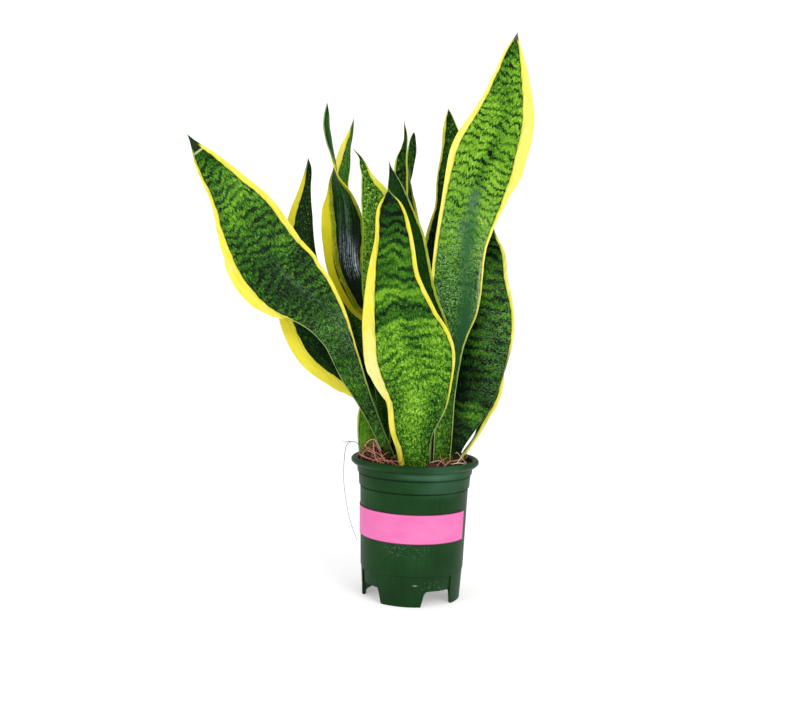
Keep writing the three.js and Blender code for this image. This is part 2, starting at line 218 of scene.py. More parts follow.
class Growth(Tree):
    # a Geometry Nodes group with named inputs, which grows something on a host mesh
    def __init__(self, name, inputs):
        super().__init__(bpy.data.node_groups.new(name, "GeometryNodeTree"))
        self.name = name
        self.inputs = inputs
        sockets = self.tree.interface
        for way in ("INPUT", "OUTPUT"):
            sockets.new_socket("Geometry", in_out=way, socket_type="NodeSocketGeometry")
        for label, value in inputs.items():
            kind = "NodeSocketInt" if isinstance(value, int) else "NodeSocketFloat"
            sockets.new_socket(label, in_out="INPUT", socket_type=kind)
        self.entry = self.tree.nodes.new("NodeGroupInput")

    def input(self, label):
        return Wire(self, self.entry.outputs[label])

    def random(self, low, high, draw):
        # a number for each point; one draw is independent of another
        values = {2: low, 3: high, "Seed": self.input("seed") + draw}
        return self.add("FunctionNodeRandomValue", {"data_type": "FLOAT"}, values, 1)

    def scatter(self, density):
        values = {"Mesh": self.input("Geometry"), "Density": density, "Seed": self.input("seed")}
        return self.add("GeometryNodeDistributePointsOnFaces", {"distribute_method": "RANDOM"}, values)

    def strew(self, points, thing, turn, size):
        values = {"Points": points, "Instance": thing, "Rotation": turn, "Scale": size}
        return self.add("GeometryNodeInstanceOnPoints", None, values)

    def move(self, geometry, offset):
        return self.add("GeometryNodeSetPosition", None, {"Geometry": geometry, "Offset": offset})

    def grow(self, host, geometry, material):
        # what grows on the host, as a plain mesh of its own
        placed = self.add("GeometryNodeRealizeInstances", None, {0: geometry})
        dressed = self.add("GeometryNodeSetMaterial", None, {0: placed, "Material": material})
        self.add("NodeGroupOutput", None, {0: dressed}, None)
        holder = putInScene(self.name + "Host", host)
        modifier = holder.modifiers.new("growth", "NODES")
        modifier.node_group = self.tree
        for item in self.tree.interface.items_tree:
            if item.in_out == "INPUT" and item.name in self.inputs:
                modifier[item.identifier] = self.inputs[item.name]
        return plainMesh(holder, self.name)


def anglesRound(steps):
    return [2 * math.pi * step / steps for step in range(steps)]


def ringAt(radius, height, steps):
    # corners about the pot's axis, from its front; the one corner on the axis where the radius is 0
    angles = anglesRound(steps if radius else 1)
    return [(radius * math.sin(angle), -radius * math.cos(angle), height) for angle in angles]


def loft(name, *bodies, turn=0.0):
    # closed bodies, each through rings of as many corners, in mm from the foot of the pot's axis and turned
    # about it; a ring of one corner is a pole
    mesh = bmesh.new()
    for rings in bodies:
        count = max(len(ring) for ring in rings)
        rings = [[mesh.verts.new(corner) for corner in ring] * (count // len(ring)) for ring in rings]
        for low, high in zip(rings, rings[1:]):
            for corner in range(count):
                after = (corner + 1) % count
                mesh.faces.new(list(dict.fromkeys((low[corner], low[after], high[after], high[corner]))))
        for end in (rings[0][::-1], rings[-1]):
            if end[0] != end[1]:
                mesh.faces.new(end)
    bmesh.ops.recalc_face_normals(mesh, faces=mesh.faces)
    mesh.transform(Matrix.Translation(potAxis) @ Matrix.Scale(mm, 4) @ Matrix.Rotation(turn, 4, "Z"))
    result = bpy.data.meshes.new(name)
    mesh.to_mesh(result)
    mesh.free()
    return result


cameraView = {
    "place": Vector((-15, -827, 240)),  # mm from the foot of the pot's axis
    "pitch": 3.0,  # degrees down
    "roll": 1.9,  # degrees, the picture leans clockwise
    "lens": 46.35,
}


def addCamera(view):
    camera = putInScene("viewCamera", bpy.data.cameras.new("viewCamera"))
    camera.data.lens = view["lens"]
    camera.data.sensor_width = 36
    camera.data.clip_start = 0.01
    pitch = math.radians(view["pitch"])
    roll = math.radians(view["roll"])
    forward = Vector((0, math.cos(pitch), -math.sin(pitch)))
    level = Vector((1, 0, 0))
    above = level.cross(forward)
    right = level * math.cos(roll) + above * math.sin(roll)
    up = above * math.cos(roll) - level * math.sin(roll)
    turn = Matrix((right, up, -forward)).transposed().to_4x4()
    camera.matrix_world = Matrix.Translation(potAxis + view["place"] * mm) @ turn
    bpy.context.scene.camera = camera


addCamera(cameraView)
print("camera set")


leafForm = {
    "steps": 150,  # lengths of blade from root to tip
    "spans": 36,  # strips across each face
    "marginThick": 1.0,
    "ribRoot": 5.2,
    "ribBlade": 2.6,
    "rootShare": 0.22,  # the stalk-like share of a leaf
    "calmRoot": 0.3,  # shares of the leaf in which its waves grow and fade
    "calmTip": 0.15,
    "tipRound": 0.03,  # share of the leaf over which its tip thins out
    "leftLag": 2.1,  # radians that the left margin lags the right one
    "outline": (0.012, 21),  # share of the width that the outline wanders, over so many mm
    "ripple": (0.9, 11),  # mm that the margins ripple between their long waves, over so many mm
    "unevenness": (0.45, 12, 17),  # mm that the faces wander, over so many mm across and along
    "evenWidth": 20,  # mm: leaves that are narrower are more even
}
# rows run from root to tip in mm from the foot of the pot's axis:
# (x, y, z, width, turn in degrees, left margin, right margin)
leaves = {
    "leaf_front": {"cup": (-0.16, -0.05), "wave": 2.4, "swings": 2.4, "phase": 0.4, "rows": [
        (-0.3, -30, 92, 20.9, 0, 4.2, 0.3), (-2.1, -31, 118, 24.5, 0, 4.4, 0.4),
        (-3.6, -33, 139, 35.8, 2, 4.6, 0.8), (-0.6, -36, 162, 50.5, 4, 5, 1.6),
        (-4.2, -40, 185, 66.6, 8, 8.5, 2.4), (-8.6, -42, 200, 68.9, 8, 9.7, 3),
        (-15.9, -45, 223, 58.2, 8, 9.8, 3.4), (-21.6, -48, 253, 41.7, 6, 6.8, 3.8),
        (-22.4, -49, 283, 29.4, 2, 3.4, 3.2), (-26.1, -48, 307, 20.2, 0, 2.8, 2.2),
        (-28.1, -46, 322, 0, 0, 0.6, 0.6),
    ]},
    "leaf_left": {"cup": (0.3, 0.08), "wave": 2.4, "swings": 2.6, "phase": 2.2, "rows": [
        (-13.5, -7, 92, 9.2, -10, 0.8, 0.8), (-19.9, -8, 111, 9.2, -10, 0.8, 1),
        (-30.8, -9, 135, 9.2, -10, 0.8, 1), (-41.9, -10, 158, 12.8, -12, 0.8, 1.2),
        (-53, -12, 181, 21, -14, 0.8, 1.5), (-62.7, -14, 204.1, 27.6, -16, 1, 2),
        (-74.2, -16, 222.6, 39, -18, 1.2, 3.4), (-88.1, -18, 237.9, 52.6, -18, 2, 3.8),
        (-102.3, -20, 248.5, 66.4, -18, 6.5, 3.6), (-117.8, -22, 263.1, 70.9, -18, 9.5, 4.5),
        (-127.3, -24, 280.1, 65.3, -16, 7, 6), (-138.5, -25.9, 300, 55.2, -15, 5, 5.8),
        (-151.6, -28, 319, 36.4, -14, 3.2, 5), (-167.8, -32, 339.4, 20, -10, 2, 3.5),
        (-182.5, -36, 359, 0, -8, 0.6, 1),
    ]},
    "leaf_tall": {"cup": (0.3, 0.09), "wave": 2.8, "swings": 2.5, "phase": 4.4, "rows": [
        (21, 1, 92, 14, 0, 1, 0.8), (22, 1, 134, 15, 2, 1, 0.8), (22, 2, 167, 18, 6, 1.5, 0.9),
        (23, 2, 203, 26, 12, 2.5, 1.3), (27.3, 1, 239, 43.5, 18, 2.5, 1.6),
        (29.8, -1, 283, 47.5, 20, 3.5, 2.2), (37.4, -5, 319, 54.9, 20, 4.5, 3.5),
        (47, -9, 350, 62.7, 18, 6, 8), (59.6, -13, 381, 51.7, 14, 4.2, 9.8),
        (63.8, -18, 411, 31.8, 8, 3.2, 7), (64.8, -20, 430, 17, 4, 2.4, 3.5),
        (67.2, -23, 447, 0, 0, 0.6, 0.8),
    ]},
    "leaf_right": {"cup": (-0.16, -0.07), "wave": 2, "swings": 2.4, "phase": 1.2, "rows": [
        (27, 11, 92, 10, 14, 0.5, 0.5), (32, 12, 118, 14.2, 6, 0.5, 0.5), (38, 14, 137, 23.9, 0, 0.6, 0.6),
        (43, 17, 158, 39.9, -10, 0.8, 0.8), (46.9, 20, 187, 51.7, -18, 0.8, 1.2),
        (50.5, 22, 220, 55.8, -20, 1, 2.2), (51.5, 25, 253, 45, -20, 1.2, 3),
        (57.6, 28, 278, 25.8, -16, 1.2, 3.3), (59.4, 30, 300, 0, -12, 0.6, 1),
    ]},
    "leaf_right_back": {"cup": (-0.12, -0.08), "wave": 1, "swings": 2, "phase": 3, "rows": [
        (28, 17, 92, 4.5, 0, 0.4, 2.6), (39.2, 18, 111, 3.5, 0, 0.4, 2.8), (51.1, 24, 128, 4.1, 4, 0.4, 3.2),
        (56.6, 29, 144, 10.8, 8, 0.5, 3.2), (61.6, 33, 158, 17, 12, 0.6, 3.4),
        (62.6, 36, 173, 23.2, 14, 0.6, 3.4), (60, 42, 202, 27, 14, 0.6, 2.5), (57, 47, 240, 20, 10, 0.6, 2),
        (55.4, 50, 272, 0, 6, 0.3, 0.6),
    ]},
    "leaf_far_left": {"cup": (-0.14, -0.06), "wave": 1.6, "swings": 2, "phase": 5, "rows": [
        (-34, 4, 92, 16, 0, 1.2, 0.5), (-37.8, 5, 119, 17.4, 0, 1.2, 0.5),
        (-39.7, 7, 140, 16.5, 2, 1.5, 0.5), (-39.8, 9, 156, 14.5, 6, 2, 0.5), (-48, 11, 169, 27, 10, 7, 0.5),
        (-58.7, 12, 180, 38.4, 12, 9, 0.5), (-77.6, 13, 202, 52.2, 14, 10.2, 0.5),
        (-90, 14, 230, 53, 14, 10.5, 0.5), (-97.5, 15, 252, 37, 14, 9, 0.5),
        (-100.6, 17, 280, 26.8, 14, 7, 0.4), (-99.5, 20, 305, 19, 16, 5.5, 0.3),
        (-97.1, 23, 325, 10.2, 18, 3.5, 0.3), (-95, 26, 343, 5.4, 18, 1.2, 0.3),
        (-96.1, 29, 353, 0, 18, 0.3, 0.2),
    ]},
    "leaf_twisted": {"cup": (0.22, 0.1), "wave": 0.8, "swings": 2, "phase": 1, "rows": [
        (-16, 13, 92, 12, 0, 1, 1.5), (-15, 12, 156, 16, 0, 1.5, 1.5), (-27.8, 11, 197, 21.5, 0, 2.5, 2),
        (-37.3, 10, 223, 19.6, 0, 6, 2), (-50.3, 9, 237, 21.6, 0, 9, 2), (-61.3, 8, 261, 28.3, 0, 11, 2),
        (-63.8, 7, 285, 33.5, 0, 11.5, 2), (-64.8, 6, 301, 33.5, -4, 11, 2.5),
        (-66.8, 4, 318, 30.5, -32, 8, 4.5), (-70.8, 3, 332, 22.5, -60, 4.5, 6), (-72, 2, 344, 15, -88, 2, 4),
        (-74.5, 0, 355, 12, -106, 1, 1), (-78.2, -2, 371, 10.1, -122, 0.8, 0.8),
        (-78.8, -4, 382, 6.5, -126, 0.6, 0.6), (-79, -6, 392, 0, -128, 0.3, 0.3),
    ]},
    "leaf_back_left": {"cup": (-0.2, -0.12), "wave": 0.8, "swings": 2, "phase": 2, "rows": [
        (-22, 26, 92, 12, 10, 1, 1), (-29, 27, 146, 15, 12, 1.5, 1), (-46, 29, 204, 21, 16, 2, 1.2),
        (-60.2, 32, 261, 23.5, 20, 2.5, 1.5), (-66, 36, 311, 19, 24, 3.5, 1.5),
        (-69.7, 39, 332, 16.6, 26, 4.5, 1.5), (-67.6, 41, 349, 13.8, 26, 4.5, 1),
        (-65.8, 43, 363, 10.2, 26, 4, 1), (-62.9, 44, 374, 5.9, 24, 2.5, 1),
        (-61.3, 46, 382, 2.5, 22, 0.8, 0.4), (-60.2, 48, 390, 0, 20, 0.3, 0.3),
    ]},
    "leaf_inner_left": {"cup": (0.2, 0.1), "wave": 1.2, "swings": 2.2, "phase": 0, "rows": [
        (-6, -15, 92, 10, 0, 1, 1), (-13, -14, 139, 13, 0, 1.2, 1.5), (-22, -13, 190, 26, 4, 1, 2.5),
        (-30, -12, 238, 31, 8, 1, 3), (-32, -11, 261, 32, 10, 1, 4), (-34, -9, 293, 29, 12, 1, 4.5),
        (-38.2, -7, 316, 24.7, 14, 1, 5), (-43.2, -5, 329, 14.7, 14, 1, 4.5),
        (-46.2, -4, 337, 8.6, 14, 0.8, 2.5), (-49.3, -3, 344, 6.2, 10, 0.4, 1.2),
        (-51.8, -2, 350, 2.4, 8, 0.2, 0.5), (-58.6, 0, 358, 0, 6, 0.1, 0.2),
    ]},
    "leaf_inner_right": {"cup": (0.12, 0.05), "wave": 1.4, "swings": 2.4, "phase": 3.6, "rows": [
        (7, -18, 92, 12, 0, 1, 1), (4, -20, 136, 17, 0, 1, 1.2), (4, -22, 176, 40, -6, 1.5, 1.5),
        (0, -23, 207, 50, -8, 2, 1.8), (-6, -24, 238, 39, -10, 2, 2), (-9.2, -24, 258, 34.5, -12, 2, 2),
        (-12.8, -25, 285, 29.5, -14, 2, 2), (-16.3, -26, 301, 22.4, -14, 2, 1.8),
        (-20, -27, 315, 17, -12, 1.5, 1.4), (-23.1, -28, 325, 12.5, -10, 1, 1),
        (-25.2, -29, 333, 6.3, -6, 0.5, 0.5), (-27, -30, 339, 2, 0, 0.2, 0.2),
        (-28.8, -31, 346, 0, 0, 0.1, 0.1),
    ]},
    "leaf_slim_left": {"cup": (0.2, 0.1), "wave": 0.8, "swings": 2, "phase": 4, "rows": [
        (-3, 19, 92, 11, -30, 1, 1), (-8, 20, 172, 17, -34, 1.5, 1.2), (-14, 20, 238, 20, -38, 2, 1.5),
        (-17, 20, 287, 18, -40, 2.5, 1.5), (-18, 21, 320, 14, -40, 3, 1.5),
        (-18.2, 22, 334, 14.4, -40, 2, 2), (-18.4, 23, 352, 11.7, -40, 1.2, 1.5),
        (-16.6, 24, 362, 7.7, -40, 0.8, 0.8), (-15.9, 25, 371, 4.6, -40, 0.3, 0.3),
        (-18, 27, 385, 0, -40, 0.1, 0.1),
    ]},
    "leaf_slim_right": {"cup": (-0.16, -0.08), "wave": 0.8, "swings": 2, "phase": 5.4, "rows": [
        (8, 26, 92, 12, 0, 1, 1), (5, 26, 172, 20, 0, 1.2, 1), (-1, 28, 230, 22, -6, 1.5, 1),
        (-7, 30, 280, 20, -22, 1.5, 1.5), (-10.5, 31, 311, 15, -50, 1.5, 2),
        (-11.8, 32, 324, 12.4, -70, 1.5, 1.2), (-12, 33, 334, 12, -92, 1, 1),
        (-11.7, 34, 346, 11, -112, 1, 0.8), (-11.2, 36, 357, 9.6, -126, 0.8, 0.6),
        (-10.6, 38, 368, 7.4, -138, 0.6, 0.5), (-9.7, 39, 375, 4, -144, 0.4, 0.4),
        (-9.4, 40, 378, 0, -148, 0.2, 0.2),
    ]},
    "leaf_back": {"cup": (-0.16, -0.07), "wave": 1.2, "swings": 2.2, "phase": 0.8, "rows": [
        (18, 31.5, 92, 12, 0, 1, 1), (17, 36, 155, 22, -6, 1.5, 1), (11.5, 39, 205, 33, -10, 2, 1.5),
        (11.8, 42, 251, 35.2, -14, 4.5, 1.5), (18.1, 46, 293, 30.2, -16, 3.2, 1.5),
        (23.3, 49, 319, 27.6, -16, 2, 1.5), (24.4, 52, 345, 27.9, -16, 1.7, 1.5),
        (24.5, 55, 366, 21.4, -14, 2.2, 1.2), (21.7, 57, 383, 13.5, -10, 2.6, 1),
        (20.3, 58, 394, 6.8, -6, 1.5, 0.5), (19, 60, 403, 0, 0, 0.4, 0.3),
    ]},
}


def hermite(before, start, end, after, share):
    # a point between start and end on a smooth line through all four
    leave = (end - before) / 2
    arrive = (after - start) / 2
    square = share * share
    cube = square * share
    bend = (2 * start - 2 * end + leave + arrive) * cube
    return bend + (3 * end - 3 * start - 2 * leave - arrive) * square + leave * share + start


def alongRows(values, share, extend):
    # the value at a share of the way along a leaf's rows; the ends are carried on or held
    place = share * (len(values) - 1)
    row = min(int(place), len(values) - 2)
    start, end = values[row], values[row + 1]
    before = values[row - 1] if row > 0 else (2 * start - end if extend else start)
    after = values[row + 2] if row + 2 < len(values) else (2 * end - start if extend else end)
    return hermite(before, start, end, after, place - row)


class Blade:
    # the form of one leaf: where its middle line runs, and how its faces lie there
    def __init__(self, leaf, seed):
        self.leaf = leaf
        self.seed = seed
        self.points = [Vector(row[:3]) for row in leaf["rows"]]
        self.form = [Vector(row[3:5]) for row in leaf["rows"]]
        self.margins = [Vector(row[5:7]) for row in leaf["rows"]]

    def middle(self, t):
        return alongRows(self.points, t, True)

    def wander(self, first, second):
        return noise.noise(Vector((first, second, self.seed)))

    def section(self, t, along, shares):
        # the corners of the front and back face at one height, and what the paint needs to know of them
        form = leafForm
        leaf = self.leaf
        nudge = 0.0001
        middle = self.middle(t)
        heading = (self.middle(min(1, t + nudge)) - self.middle(max(0, t - nudge))).normalized()
        width, degrees = alongRows(self.form, t, False)
        marginLeft, marginRight = alongRows(self.margins, t, False)
        outline, outlineLength = form["outline"]
        width *= 1 + outline * self.wander(along / outlineLength, 3.7)
        turn = math.radians(degrees)
        level = (Vector((1, 0, 0)) - heading * heading.x).normalized()
        ahead = level.cross(heading).normalized()
        across = level * math.cos(turn) - ahead * math.sin(turn)
        face = ahead * math.cos(turn) + level * math.sin(turn)

        stalk = 1 - ease(t / form["rootShare"])
        cup = lerp(leaf["cup"][1], leaf["cup"][0], stalk)
        rib = lerp(lerp(form["ribBlade"], form["marginThick"], t), form["ribRoot"], stalk)
        calm = ease(t / form["calmRoot"]) * ease((1 - t) / form["calmTip"])
        thin = math.sqrt(1 - (1 - clamp((1 - t) / form["tipRound"])) ** 2)
        ripple, rippleLength = form["ripple"]
        uneven, unevenAcross, unevenAlong = form["unevenness"]
        front, back, values = [], [], []
        for share in shares:
            edge = share * share
            side = -1 if share < 0 else 1
            angle = 2 * math.pi * leaf["swings"] * t + leaf["phase"] + (form["leftLag"] if share < 0 else 0)
            offset = share * width / 2
            lift = cup * width * (edge - 1 / 3) + leaf["wave"] * calm * math.sin(angle) * edge
            lift += ripple * calm * self.wander(along / rippleLength, side * 4.3) * edge * edge
            wander = self.wander(offset / unevenAcross, along / unevenAlong)
            lift += uneven * wander * clamp(width / form["evenWidth"])
            thick = lerp(rib, form["marginThick"], edge) / 2 * thin
            thick *= math.sqrt(max(0, 1 - abs(share) ** 12))
            front.append(middle + across * offset + face * (lift + thick))
            back.append(middle + across * offset + face * (lift - thick))
            toLeft = width / 2 + offset
            toRight = width / 2 - offset
            wide = marginLeft if share < 0 else marginRight
            values.append((offset, toLeft - marginLeft, toRight - marginRight, min(toLeft, toRight), wide))
        return front, back, values


leafGreens = [
    (0.0, (3, 14, 3)), (0.15, (10, 38, 8)), (0.3, (26, 70, 12)), (0.45, (56, 106, 18)),
    (0.6, (92, 144, 28)), (0.75, (126, 176, 42)), (0.9, (162, 206, 74)), (1.0, (200, 226, 128)),
]
leafLook = {  # for every leaf, unless its own look says otherwise
    # each of these runs along the leaf: (share of its length, value), ...
    # on leaves deep in the clump a low tone also paints in the shade they lie in
    "tone": [(0.0, 0.3)],  # how light the green is
    "bands": [(0.0, 0.0), (0.25, 0.1), (0.4, 0.25)],  # how much darker a band is
    "grain": [(0.0, 0.8)],  # mottling
    "flecks": [(0.0, 0.1)],  # lighter dots
    "frost": [(0.0, 0.0)],  # pale grey-green strokes
    "frostSide": (0, 200),  # across mm, width mm
    "bandStep": 7.2,  # mm from band to band
    "bandDark": 0.0,  # -1 to 1: bands narrow to broad
    "broken": 4.0,  # how much the bands break up
    "feather": 18.0,  # mm that a band's edge is drawn out along the leaf
    "drift": 26.0,  # mm that a band wanders
    "chevron": 0.1,  # how steeply the bands fall away from the middle line
    "ribs": 0.12,  # lengthwise streaks
    "cloud": 0.25,
    "patches": [],  # (share, width, across mm, width mm, darker by)
    # sheens: painted highlights where a leaf catches the light; the list also lays smooth stripes of a leaf's
    # own tint
    "sheensAndStripes": [],  # (share, width, across mm, width mm, strength, streaked, colour)
    "yellow": (244, 232, 80),
    "cream": (246, 232, 158),
    "thin": (120, 152, 82),  # the margin where it is hardly wider than a line
    "creamAt": (0.0, 0.2, 0.0),  # share, width and strength of a creamy stretch of the left margin
    "streaks": 0.5,  # how strong the lines in the margins are
    "lines": (120, 150, 40),
    "shade": (186, 180, 34), "mottle": (84, 116, 26), "golden": (236, 206, 48), "rim": (150, 148, 46),
    "seamTint": (24, 34, 8), "frostTint": (146, 198, 122),
    "haze": -0.2,  # mm of the margin's inner side that is mottled with green
    "seam": (0.0, 0.5, 0.1),  # mm from the left margin's inner side to a dark line in it; share, width
    "dryTip": 0.0,  # share of the leaf that has dried at its tip
    "dryColour": (104, 84, 62),
    "roughness": 0.5,
}
leafLooks = {
    "leaf_front": {
        "tone": [(0.05, 0.4), (0.2, 0.43), (0.32, 0.5), (0.45, 0.61), (0.57, 0.65), (0.6, 0.36), (0.63, 0.36),
                 (0.655, 0.64), (0.685, 0.64), (0.71, 0.46), (0.8, 0.45), (0.9, 0.33), (0.97, 0.2)],
        "bands": [(0.26, 0.02), (0.38, 0.18), (0.6, 0.2), (0.68, 0.2), (0.9, 0.26)], "bandDark": -0.2,
        "grain": [(0.2, 1.1), (0.55, 0.8), (0.7, 0.45)], "broken": 1.7, "feather": 8.0, "drift": 15.0,
        "bandStep": 8.0, "chevron": 0.32, "cloud": 0.35, "yellow": (238, 226, 74),
        "creamAt": (0.42, 0.24, 0.9),
        "patches": [(0.28, 0.26, -2, 16, -0.16), (0.2, 0.2, 14, 12, 0.16), (0.5, 0.12, 4, 12, 0.14),
                    (0.25, 0.3, -22, 14, 0.1)],
    },
    "leaf_left": {
        "tone": [(0.05, 0.4), (0.2, 0.36), (0.35, 0.32), (0.45, 0.31), (0.6, 0.35), (0.7, 0.44), (0.82, 0.54),
                 (0.88, 0.48), (0.94, 0.37), (0.965, 0.21)],
        "bands": [(0.35, 0.1), (0.5, 0.28), (0.9, 0.3), (0.96, 0.1)], "bandDark": -0.3,
        "grain": [(0.1, 1.0), (0.5, 0.8), (0.9, 0.6)], "feather": 12.0, "drift": 18.0, "cloud": 0.5,
        "frost": [(0.1, 0.24), (0.3, 0.26), (0.42, 0.5), (0.5, 0.16), (0.7, 0.1), (0.85, 0.2), (0.93, 0.0)],
        "broken": 2.2, "yellow": (243, 232, 80), "seam": (1.8, 0.47, 0.1),
        "dryTip": 0.044, "dryColour": (34, 50, 18),
        "patches": [(0.6, 0.16, -6, 24, 0.14), (0.8, 0.16, -8, 12, -0.08)],
        # painted highlights along the middle crease and on a streak, and a pale line where the leaf is
        # creased
        "sheensAndStripes": [
            (0.54, 0.15, 2, 6.0, 0.34, 1, (104, 136, 104)), (0.4, 0.08, 10, 8, 0.5, 1, (110, 140, 108)),
            (0.952, 0.004, 0, 14, 0.9, 0, (206, 212, 160)),
        ],
    },
    "leaf_tall": {
        "tone": [(0.05, 0.48), (0.15, 0.44), (0.25, 0.36), (0.4, 0.36), (0.52, 0.5), (0.6, 0.68), (0.7, 0.7),
                 (0.85, 0.68), (0.93, 0.58), (0.98, 0.4)],
        "bands": [(0.2, 0.1), (0.35, 0.24), (0.55, 0.26), (0.68, 0.46), (0.9, 0.38)],
        "grain": [(0.2, 1.0), (0.5, 0.9), (0.65, 0.55), (0.9, 0.7)],
        "frost": [(0.1, 0.2), (0.16, 0.3), (0.3, 0.8), (0.5, 0.95), (0.6, 0.4), (0.7, 0.0)],
        "bandDark": -0.6, "bandStep": 7.0, "broken": 2.2, "feather": 12.0, "drift": 18.0, "cloud": 0.4,
        "dryTip": 0.02, "yellow": (250, 242, 112), "thin": (160, 184, 88),
        "patches": [(0.72, 0.22, 2, 9, 0.22), (0.94, 0.1, -4, 6, 0.1)],
        # smooth darker stripes of the leaf's own tint, and a pale band by its right edge
        "sheensAndStripes": [
            (0.34, 0.24, 11, 12, 1.0, 0, (36, 84, 44)), (0.54, 0.16, 7, 9, 0.85, 0, (46, 96, 56)),
            (0.63, 0.04, 2, 7, 0.7, 0, (78, 112, 88)), (0.57, 0.04, -1, 8, 0.7, 0, (70, 108, 78)),
            (0.44, 0.22, 19, 5, 0.45, 1, (168, 186, 140)),
        ],
    },
    "leaf_right": {
        "tone": [(0.1, 0.16), (0.22, 0.2), (0.26, 0.48), (0.3, 0.48), (0.33, 0.2), (0.45, 0.28), (0.6, 0.4),
                 (0.85, 0.44), (0.97, 0.22)],
        "bands": [(0.1, 0.08), (0.24, 0.22), (0.5, 0.3), (0.9, 0.34)], "thin": (58, 92, 38),
        "grain": [(0.1, 0.6)], "broken": 1.5, "feather": 9.0, "drift": 16.0, "cloud": 0.6,
        "frost": [(0.2, 0.1), (0.4, 0.5), (0.6, 0.75), (0.75, 0.6), (0.9, 0.0)], "frostSide": (22, 34),
        "bandDark": -0.3, "bandStep": 8.4, "patches": [(0.5, 0.8, -28, 34, 0.3)], "yellow": (240, 236, 110),
    },
    "leaf_right_back": {"tone": [(0.0, 0.12)], "yellow": (236, 226, 92)},
    "leaf_far_left": {
        # its near-black tone is partly painted shade, deep among the other leaves
        "tone": [(0.1, 0.58), (0.22, 0.5), (0.26, 0.12), (0.5, 0.1), (0.7, 0.14), (0.9, 0.16)],
        "bands": [(0.0, 0.0)], "grain": [(0.1, 0.5)], "flecks": [(0.3, 0.1), (0.5, 0.3), (0.7, 0.45)],
        "ribs": 0.3, "yellow": (236, 226, 58), "cream": (238, 230, 104),
        "dryTip": 0.03, "dryColour": (52, 58, 34),
    },
    "leaf_twisted": {
        # its near-black lower half is partly painted shade under the leaves around it
        "tone": [(0.44, 0.01), (0.55, 0.08), (0.68, 0.12), (0.75, 0.2), (0.85, 0.3), (0.95, 0.34)],
        "bands": [(0.0, 0.0)], "grain": [(0.1, 0.3)], "ribs": 0.6, "streaks": 1.0, "yellow": (226, 218, 30),
        "lines": (150, 150, 26), "haze": 3.6, "seam": (4.2, 0.55, 0.12),
        "cream": (214, 208, 44),
        # painted glossy highlights, blue-white, and a fainter painted sheen above them
        "sheensAndStripes": [
            (0.6, 0.07, 6, 8, 1.0, 1, (226, 238, 255)), (0.63, 0.06, 2, 7, 1.0, 1, (190, 208, 230)),
            (0.7, 0.09, 2, 9, 0.35, 1, (110, 146, 116)),
        ],
        "roughness": 0.36,
    },
    "leaf_back_left": {
        "tone": [(0.6, 0.36), (0.85, 0.42)], "ribs": 0.6, "grain": [(0.0, 0.3)], "bands": [(0.0, 0.04)],
        "frost": [(0.5, 0.4)],
    },
    "leaf_inner_left": {
        # its dark lower part is painted shade, where it stands behind the front and left leaves
        "tone": [(0.3, 0.1), (0.42, 0.46), (0.6, 0.5), (0.85, 0.48), (0.95, 0.34)],
        "bands": [(0.4, 0.05)], "grain": [(0.1, 1.2)], "flecks": [(0.3, 0.6)], "yellow": (214, 222, 60),
        "thin": (140, 180, 50), "patches": [(0.6, 0.5, -16, 9, -0.2)],
    },
    "leaf_inner_right": {
        "tone": [(0.4, 0.3), (0.7, 0.24), (0.95, 0.2)], "grain": [(0.0, 0.25)], "bands": [(0.0, 0.03)],
        "flecks": [(0.0, 0.0)], "yellow": (150, 190, 50), "streaks": 0.8,
    },
    "leaf_slim_left": {"tone": [(0.5, 0.5), (0.95, 0.28)], "yellow": (206, 214, 66), "thin": (176, 200, 62)},
    "leaf_slim_right": {"tone": [(0.5, 0.32)], "flecks": [(0.0, 0.3)]},
    "leaf_back": {
        "tone": [(0.4, 0.13), (0.7, 0.17), (0.85, 0.37), (0.95, 0.29)], "bands": [(0.5, 0.14)],
        "yellow": (226, 224, 70), "thin": (206, 212, 66),
    },
}


